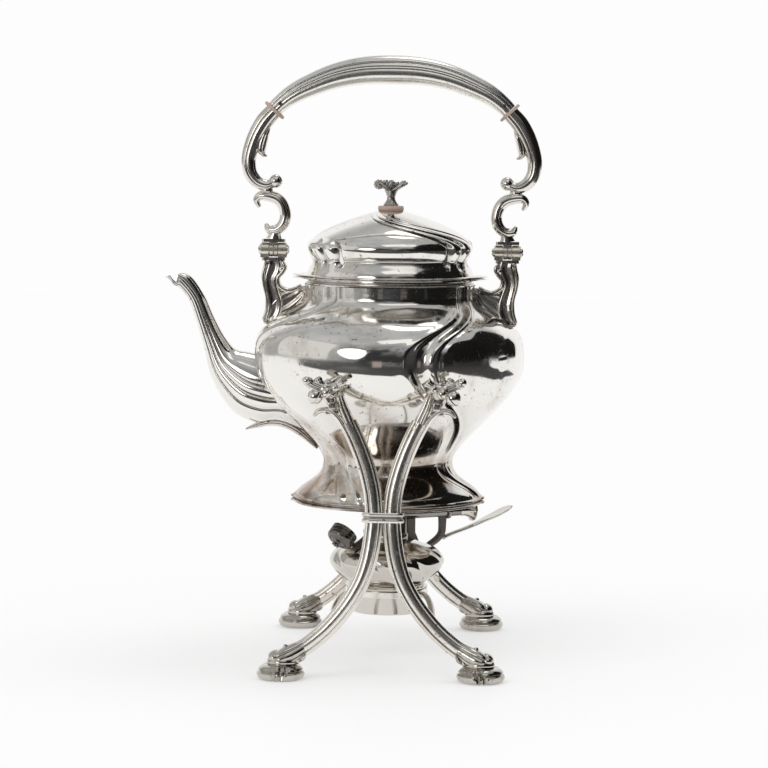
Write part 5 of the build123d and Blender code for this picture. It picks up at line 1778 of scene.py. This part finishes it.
# ---------------------------------------------------------------- the burner
@dataclass
class Burner:
    """Swirled spirit tank with its collar, wick drive, carrying handle and snuffer."""

    seat: float = 41.7
    azimuth: float = 32.0
    spindle_v: float = 8.1
    spindle_z: float = 85.0
    base: tuple = ((0.0, -15.1), (21.0, -15.1), (21.8, -14.4), (21.8, 0.0), (24.6, 0.0), (25.3, 0.6),
                   (25.4, 1.2), (24.7, 1.8), (24.2, 2.1), (23.6, 2.6), (0.0, 2.6))
    tank: tuple = ((22.6, 44.3), (26.8, 47.3), (33.1, 53.0), (35.2, 59.0), (31.2, 65.1), (21.1, 69.3),
                   (12.7, 71.5))
    collar: tuple = ((11.8, 71.5), (12.7, 71.5), (12.9, 72.2), (12.9, 74.4), (12.4, 75.2), (11.9, 75.8),
                     (11.8, 85.8), (11.2, 87.0), (9.3, 89.2), (8.6, 89.6), (6.4, 89.6), (6.4, 88.6))
    tube: tuple = ((5.6, 60.0), (6.5, 60.0), (6.5, 90.2), (6.3, 90.4), (5.8, 90.4), (5.6, 90.2), (5.6, 60.0))
    wick: tuple = ((0.0, 52.0), (5.0, 52.0), (5.2, 52.4), (5.2, 91.2), (4.7, 91.9), (0.0, 92.0))
    sleeve: tuple = ((1.4, 14.5), (3.0, 14.5), (3.2, 14.9), (3.2, 46.6), (3.9, 46.9), (4.6, 47.6),
                     (4.6, 49.4), (3.9, 50.1), (3.2, 50.4), (3.2, 56.6), (3.0, 57.0), (1.4, 57.0))
    knob: tuple = ((1.3, 57.3), (3.0, 57.3), (3.4, 58.6), (3.4, 60.2), (3.7, 62.0), (4.6, 64.2),
                   (5.9, 65.6), (6.9, 66.2), (6.9, 66.9), (6.4, 66.9), (4.0, 65.9), (0.0, 65.6))
    rod: tuple = ((0.0, -2.6), (1.3, -2.6), (1.3, 64.0), (0.0, 64.0))
    post_x: float = 21.5
    post_heights: tuple[float, ...] = (66.2, 72.0, 78.0, 81.9)
    strap: tuple = ((44.8, 82.4, 2.9, 1.5), (44.8, 77.0, 2.6, 1.5), (44.3, 71.8, 2.5, 1.5),
                    (41.4, 68.2, 2.3, 1.5), (36.0, 64.8, 2.1, 1.5), (30.6, 61.6, 2.0, 1.5))
    lever: tuple = ((45.6, 68.6, 1.5, 2.0), (51.8, 70.7, 1.2, 2.0), (62.0, 73.5, 1.1, 2.6),
                    (74.0, 77.3, 1.1, 3.8), (84.0, 80.3, 1.1, 5.2), (92.0, 83.7, 1.0, 5.0),
                    (95.6, 85.8, 0.7, 2.6))
    bowl_start: float = 66.0
    cap: tuple = ((7.6, 89.9), (8.4, 89.9), (8.4, 91.5), (8.0, 91.8), (8.0, 92.2), (8.4, 92.5), (8.4, 94.1),
                  (8.0, 94.4), (8.0, 94.8), (8.4, 95.1), (8.4, 96.3), (7.9, 97.3), (7.0, 97.9), (6.0, 97.95),
                  (5.7, 97.55), (5.3, 97.9), (4.5, 98.5), (3.4, 98.6), (3.0, 98.3), (1.5, 98.5), (1.0, 99.3),
                  (1.0, 99.9), (0.0, 100.5))
    cap_lining: tuple = ((7.6, 89.9), (7.5, 95.9), (6.6, 97.0), (0.0, 97.0))
    cap_star_z: float = 100.8
    cap_arm: tuple = ((7.6, 92.2, 1.2, 1.1), (11.0, 91.4, 1.2, 1.1), (13.6, 87.6, 1.3, 1.1),
                      (15.0, 82.0, 1.3, 1.1), (15.4, 77.0, 1.8, 1.1))
    cap_petals: int = 6
    open_turn: float = 135.0
    cap_azimuth: float = 225.0

    def build(self) -> None:
        """Make every piece of the burner."""
        self.build_tank()
        self.build_collar()
        self.build_drive()
        self.build_handle()
        self.build_snuffer()

    def turn(self) -> Matrix:
        """Direction of the spindle.

        Returns:
            A turn about the Z axis.
        """
        return Matrix.Rotation(math.radians(self.azimuth), 4, "Z")

    def along(self) -> Matrix:
        """Places a form turned about Z on the spindle's line.

        Returns:
            The matrix.
        """
        return self.turn() @ Matrix.Translation((0, self.spindle_v, self.spindle_z)) @ Matrix.Rotation(
            math.pi / 2, 4, "Y")

    def build_tank(self) -> None:
        """The moulded base and the swirled tank."""
        base = Shape("burner_base_turned")
        base.turned([(radius, self.seat + up) for radius, up in self.base], 96)
        base.give(Body.BURNER, BURNER_SILVER, "burner_base")
        tank = Shape("burner_tank_lobes")
        profile = [(r, z) for r, z in smooth_rows(self.tank, 12)] + [(11.0, 71.6)]

        def warp(spot: Vector) -> Vector:
            """Press the leaning hollows into the tank.

            Args:
                spot: A place on the turned form.

            Returns:
                Where it goes.
            """
            reach = spot.xy.length
            turn = math.degrees(math.atan2(spot.x, -spot.y))
            lean = (spot.z - 59.0) * 2.2
            past = ((turn + lean + 10) % 45) - 22.5
            share = ease((reach - 21.0) / 9.0)
            hollow = 1.1 * bump(22.5 - abs(past), 4.5) - 0.3
            return spot_round(reach - hollow * share, turn, spot.z)

        tank.turned(profile, 288, warp)
        tank.give(Body.BURNER, BURNER_SILVER, "burner_tank")

    def build_collar(self) -> None:
        """The collar, wick tube and wick."""
        collar = Shape("burner_collar_turned")
        collar.turned(self.collar, 80)
        collar.give(Body.BURNER, BURNER_DARK, "burner_collar")
        tube = Shape("wick_tube_turned")
        tube.turned(self.tube, 48)
        tube.give(Body.BURNER, BURNER_SILVER, "wick_tube")
        wick = Shape("wick_cotton")

        def fray(spot: Vector) -> Vector:
            """Roughen the wick's top.

            Args:
                spot: A place on the turned form.

            Returns:
                Where it goes.
            """
            if spot.z < 91:
                return spot * 1.0
            weave = 0.5 + 0.5 * math.sin(spot.x * 5) * math.cos(spot.y * 5)
            return Vector((spot.x, spot.y, spot.z - 0.35 * weave))

        wick.turned(self.wick, 48, fray)
        wick.give(Body.WICK, COTTON, "wick")

    def build_drive(self) -> None:
        """The fixed sleeve, and the spindle with its trumpet knob."""
        sleeve = Shape("spindle_sleeve_tube")
        sleeve.turned(self.sleeve, 40, place=self.along())
        sleeve.give(Body.BURNER, BURNER_DARK, "spindle_sleeve")
        knob = Shape("wick_knob_trumpet")
        knob.turned(self.knob, 48, place=self.along())
        knob.give(Body.DRIVE, BURNER_SILVER, "wick_knob")
        rod = Shape("wick_spindle_rod")
        rod.turned(self.rod, 24, place=self.along())
        rod.give(Body.DRIVE, DARK_METAL, "wick_spindle")

    def build_handle(self) -> None:
        """Post and strap that hold the sleeve, and the spoon-ended lever."""
        post = Shape("spindle_post_bar")
        path = [Station(Vector((self.post_x, self.spindle_v, z)), 3.1, 1.6) for z in self.post_heights]
        post.bar(path, TO_BACK, reeds((), 0.0, 18, 5.0))
        post.move(self.turn())
        post.give(Body.BURNER, DARK_METAL, "spindle_post")
        strap = Shape("handle_strap_bar")
        strap.bar(self.beside(self.strap, 6), TO_BACK, reeds((), 0.0, 18, 3.0))
        strap.move(self.turn())
        strap.give(Body.BURNER, DARK_METAL, "handle_strap")
        lever = Shape("lifting_lever_spoon")
        lever.bar(self.beside(self.lever, 7), TO_BACK, oval(28), 0.0, 0.6)
        for vert in lever.bm.verts:
            side = vert.co.y - self.spindle_v
            if vert.co.x > self.bowl_start:
                vert.co.z += side * side * 0.035 * ease((vert.co.x - self.bowl_start) / 14)
        lever.move(self.turn())
        lever.give(Body.BURNER, BURNER_SILVER, "lifting_lever")

    def beside(self, rows: Sequence[Point], parts: int) -> list[Station]:
        """Stations along (x, z, half width, half depth) rows under the spindle.

        Args:
            rows: The rows.
            parts: Pieces that each span is cut into.

        Returns:
            The stations.
        """
        return [Station(Vector((x, self.spindle_v, z)), wide, deep)
                for x, z, wide, deep in smooth_rows(rows, parts)]

    def build_snuffer(self) -> None:
        """The ringed cap with its star knob, standing open."""
        cap = Shape("snuffer_cap_ringed")
        cap.turned(self.cap, 56)
        cap.turned(self.cap_lining, 40)
        for petal in range(self.cap_petals):
            spin = (Matrix.Translation((0, 0, self.cap_star_z))
                    @ Matrix.Rotation(2 * math.pi * petal / self.cap_petals, 4, "Z"))
            cap.ball(Vector((0, 0, 0)), 1.0, (1, 1, 1), 10)
            tip = cap.ball(Vector((0, 0, 0)), 0.7, (2.6, 0.8, 0.9), 12)
            bmesh.ops.transform(cap.bm, matrix=spin @ Matrix.Translation((1.0, 0, 0)), verts=tip)
        for vert in cap.bm.verts:
            if vert.co.length < 1.01:
                vert.co.z += self.cap_star_z
        cap.bar([Station(Vector((x, 0, z)), w, d) for x, z, w, d in smooth_rows(self.cap_arm, 5)], TO_BACK,
                oval(18), 0.0, 1.2)
        hinge_x, hinge_z = self.cap_arm[-1][:2]
        hinge = Vector((hinge_x, 0, hinge_z))
        swing = (Matrix.Translation(hinge) @ Matrix.Rotation(math.radians(self.open_turn), 4, "Y")
                 @ Matrix.Translation(-hinge))
        cap.move(Matrix.Rotation(math.radians(self.cap_azimuth), 4, "Z") @ swing)
        cap.give(Body.SNUFFER, SNUFFER_SILVER, "snuffer_cap", groove_scale=1.2)


@dataclass
class CadTrim:
    """Small CAD nodes that are shown as they are, each with its finish."""

    finishes: tuple = (("finial_nut", SILVER), ("finial_stud", SILVER), ("lid_bezel", SILVER),
                       ("grip_rivets", SILVER), ("hinge_pin_heel", SILVER), ("hinge_pin_spout", SILVER),
                       ("snuffer_ears", DARK_METAL), ("snuffer_pin", DARK_METAL), ("wick_wheel", DARK_METAL))

    def dress(self, nodes: dict[str, bpy.types.Object]) -> None:
        """Give every CAD node a finish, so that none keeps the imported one.

        Args:
            nodes: CAD objects by name.
        """
        chosen = dict(self.finishes)
        for name, node in nodes.items():
            finish = chosen.get(name, STAND_SILVER)
            node.data.materials.clear()
            node.data.materials.append(finish.material())


# ---------------------------------------------------------------- the studio
@dataclass(frozen=True)
class Card:
    """A card that only reflections see, placed by direction from the kettle."""

    turn: float
    lift: float
    wide: float
    high: float
    glow: float
    corners: int = 4
    tint: Colour = (1.0, 0.99, 0.97, 1.0)
    away: float = 2.3


@dataclass
class Studio:
    """Pale floor, soft lights, reflector cards and the camera."""

    cards: tuple[Card, ...] = (
        Card(-31.0, 12.0, 0.95, 1.0, 2.6, 48), Card(-74.0, 18.0, 2.0, 1.7, 0.72),
        Card(165.0, 66.0, 0.8, 0.9, 2.4, 48), Card(-8.0, -6.0, 0.34, 0.3, 0.42, 4, (1.0, 0.86, 0.8, 1.0)),
        Card(24.0, -6.0, 0.3, 0.3, 0.38, 4, (1.0, 0.84, 0.78, 1.0)), Card(20.0, 58.0, 1.5, 0.7, 1.0),
        Card(74.0, 26.0, 3.4, 3.3, 0.008, away=2.6), Card(116.0, 22.0, 2.0, 2.9, 0.01, away=2.6),
        Card(36.0, 6.0, 1.1, 1.3, 0.012, away=2.5))
    mats: tuple = (("mat_front", (-3.0, -3.0), (3.0, -0.5)), ("mat_right", (0.5, -0.5), (3.0, 0.5)))
    lamps: tuple = (("key", (-1.0, -1.2, 2.0), 1.4, 14.0), ("fill", (1.3, 0.5, 2.2), 1.6, 12.0))
    lamp_aim: Triple = (0.0, 0.0, 0.15)
    floor_size: float = 4.0
    room_radius: float = 3.2
    camera_angles: Triple = (1.85, 4.77, 0.67)
    camera_distance: float = 1.87653
    camera_height: float = 0.32435
    camera_shift: float = 0.00304
    sensor: float = 36.0
    lens: float = 142.73953125
    centre: Triple = (0.0, 0.0, 0.18)

    def build(self) -> None:
        """Make floor, world, cards, lights and camera."""
        self.build_floor()
        self.build_room()
        self.build_world()
        for index, card in enumerate(self.cards):
            self.build_card(index, card)
        self.build_lights()
        self.build_camera()

    def build_floor(self) -> None:
        """A wide pale floor."""
        bm = bmesh.new()
        bmesh.ops.create_grid(bm, x_segments=1, y_segments=1, size=self.floor_size)
        mesh = bpy.data.meshes.new("floor")
        bm.to_mesh(mesh)
        bm.free()
        add_object("floor", mesh)
        made = bpy.data.materials.new("pale_floor")
        tree = Tree(made)
        matt = tree.node("ShaderNodeBsdfPrincipled", None,
                         {"Base Color": (0.88, 0.88, 0.88, 1.0), "Roughness": 0.6})
        white = tree.node("ShaderNodeEmission", None, {"Color": (0.978, 0.978, 0.977, 1.0), "Strength": 1.0})
        where = tree.node("ShaderNodeTexCoord", output="Object")
        away = tree.node("ShaderNodeVectorMath", {"operation": "LENGTH"}, {0: where}, output="Value")
        paper = (away.step(0.13, 0.5) * 0.6 + 0.4) * self.seen_by(tree)
        mixed = tree.node("ShaderNodeMixShader", None, {0: paper, 1: matt, 2: white})
        tree.node("ShaderNodeOutputMaterial", None, {"Surface": mixed})
        mesh.materials.append(made)

    @staticmethod
    def seen_by(tree: Tree) -> Wire:
        """Whether a ray comes from the camera, a reflection or through a clear piece.

        Args:
            tree: Tree that the nodes go in.

        Returns:
            1 for those rays, else 0.
        """
        path = tree.node("ShaderNodeLightPath", output="Is Camera Ray")
        return (path + path["Is Glossy Ray"] + path["Is Transmission Ray"]).clamped()

    def build_room(self) -> None:
        """The dim studio round the object and the dark floor beyond its paper, seen by reflections only."""
        room = self.only_reflections("room")
        bm = bmesh.new()
        bmesh.ops.create_uvsphere(bm, u_segments=64, v_segments=32, radius=self.room_radius)
        bm.to_mesh(room.data)
        bm.free()
        tree = Tree(room.data.materials[0])
        where = tree.node("ShaderNodeTexCoord", output="Object")
        unit = tree.node("ShaderNodeVectorMath", {"operation": "NORMALIZE"}, {0: where}, output="Vector")
        split = tree.node("ShaderNodeSeparateXYZ", None, {"Vector": unit}, output="X")
        across, back, up = split, split["Y"], split["Z"]
        cloud = tree.noise(1.1, 2.0, 0.5)
        upper = tree.colour_mix(up.step(0.3, 0.85), (0.03, 0.03, 0.033, 1.0), (0.42, 0.43, 0.44, 1.0))
        patchy = tree.colour_mix(cloud.step(0.45, 0.65) * up.step(0.1, 0.4) * 0.45, upper,
                                 (0.6, 0.6, 0.6, 1.0))
        left = tree.colour_mix((0.0 - across).step(0.35, 0.8) * 0.55, patchy, (0.7, 0.7, 0.69, 1.0))
        whole_room = tree.colour_mix(back.step(0.5, 0.8) * (1.0 - up.step(0.55, 0.8)), left,
                                     (0.95, 0.95, 0.95, 1.0))
        tree.principled(Base_Color=(0.0, 0.0, 0.0, 1.0), Roughness=1.0, Emission_Color=whole_room,
                        Emission_Strength=1.0)
        for name, low, high in self.mats:
            mat = self.only_reflections(name)
            bm = bmesh.new()
            middle = Vector(((low[0] + high[0]) / 2, (low[1] + high[1]) / 2, 0.002))
            bmesh.ops.create_grid(bm, x_segments=1, y_segments=1, size=0.5, matrix=Matrix.Translation(middle)
                                  @ Matrix.Diagonal((high[0] - low[0], high[1] - low[1], 1, 1)))
            bm.to_mesh(mat.data)
            bm.free()
            Tree(mat.data.materials[0]).principled(Base_Color=(0.04, 0.04, 0.04, 1.0), Roughness=0.8)

    @staticmethod
    def only_reflections(name: str) -> bpy.types.Object:
        """An empty mesh object that only glossy rays see.

        Args:
            name: Its name.

        Returns:
            The object, with a material of the same name.
        """
        mesh = bpy.data.meshes.new(name)
        mesh.materials.append(bpy.data.materials.new(name))
        made = add_object(name, mesh)
        made.visible_camera = False
        made.visible_diffuse = False
        made.visible_shadow = False
        made.visible_transmission = False
        return made

    def build_world(self) -> None:
        """White to the camera, soft grey to everything else."""
        world = bpy.data.worlds.new("studio")
        bpy.context.scene.world = world
        tree = Tree(world)
        back = tree.node("ShaderNodeBackground", None, {"Color": (0.985, 0.985, 0.985, 1), "Strength": 1.0})
        soft = tree.node("ShaderNodeBackground", None, {"Color": (0.94, 0.94, 0.94, 1), "Strength": 0.9})
        mixed = tree.node("ShaderNodeMixShader", None, {0: self.seen_by(tree), 1: soft, 2: back})
        tree.node("ShaderNodeOutputWorld", None, {"Surface": mixed})

    def build_card(self, index: int, card: Card) -> None:
        """One glowing or black card.

        Args:
            index: Number of the card.
            card: Its place and glow.
        """
        made = self.only_reflections(f"card_{index}")
        bm = bmesh.new()
        lift = math.radians(card.lift)
        heading = spot_round(math.cos(lift), card.turn, math.sin(lift))
        spot = Vector(self.centre) + heading * card.away
        facing = heading.to_track_quat("Z", "Y").to_matrix().to_4x4()
        square = Matrix.Rotation(math.pi / 4, 4, "Z") if card.corners == 4 else Matrix.Identity(4)
        radius = 0.7071 if card.corners == 4 else 0.5
        bmesh.ops.create_circle(bm, cap_ends=True, segments=card.corners, radius=radius,
                                matrix=Matrix.Translation(spot) @ facing
                                @ Matrix.Diagonal((card.wide, card.high, 1, 1)) @ square)
        bm.to_mesh(made.data)
        bm.free()
        tree = Tree(made.data.materials[0])
        glow = tree.node("ShaderNodeEmission", None, {"Color": card.tint, "Strength": card.glow})
        tree.node("ShaderNodeOutputMaterial", None, {"Surface": glow})

    def build_lights(self) -> None:
        """Two soft lamps above."""
        for name, where, size, power in self.lamps:
            lamp = bpy.data.lights.new(name, "AREA")
            lamp.size = size
            lamp.energy = power
            made = add_object(name, lamp)
            made.location = where
            aim = Vector(self.lamp_aim) - Vector(where)
            made.rotation_euler = aim.to_track_quat("-Z", "Y").to_euler()
            made.visible_glossy = False

    def build_camera(self) -> None:
        """The camera, a little above the lid, facing the front."""
        data = bpy.data.cameras.new("camera")
        made = add_object("camera", data)
        turn, down, roll = (math.radians(angle) for angle in self.camera_angles)
        forward = Vector((-math.sin(turn) * math.cos(down), math.cos(turn) * math.cos(down), -math.sin(down)))
        right = Vector((math.cos(turn), math.sin(turn), 0))
        upward = right.cross(forward)
        across = right * math.cos(roll) + upward * math.sin(roll)
        rise = upward * math.cos(roll) - right * math.sin(roll)
        place = Vector((math.sin(turn) * self.camera_distance, -math.cos(turn) * self.camera_distance,
                        self.camera_height)) - across * self.camera_shift
        made.matrix_world = Matrix(((across.x, rise.x, -forward.x, place.x),
                                    (across.y, rise.y, -forward.y, place.y),
                                    (across.z, rise.z, -forward.z, place.z), (0, 0, 0, 1)))
        data.sensor_width = self.sensor
        data.lens = self.lens
        scene = bpy.context.scene
        scene.camera = made
        scene.view_settings.view_transform = "Standard"


def main() -> None:
    """Build every piece, dress the rest and set up the studio."""
    logging.basicConfig(level=logging.INFO, format="%(relativeCreated)d ms %(message)s")
    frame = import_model()
    CadTrim().dress(frame["nodes"])
    Kettle().build()
    Lid().build()
    Handle().build()
    Stand().build()
    for face in Face:
        for side in Side:
            Knot(side, face).build()
    Burner().build()
    Studio().build()


if __name__ == "__main__":
    main()
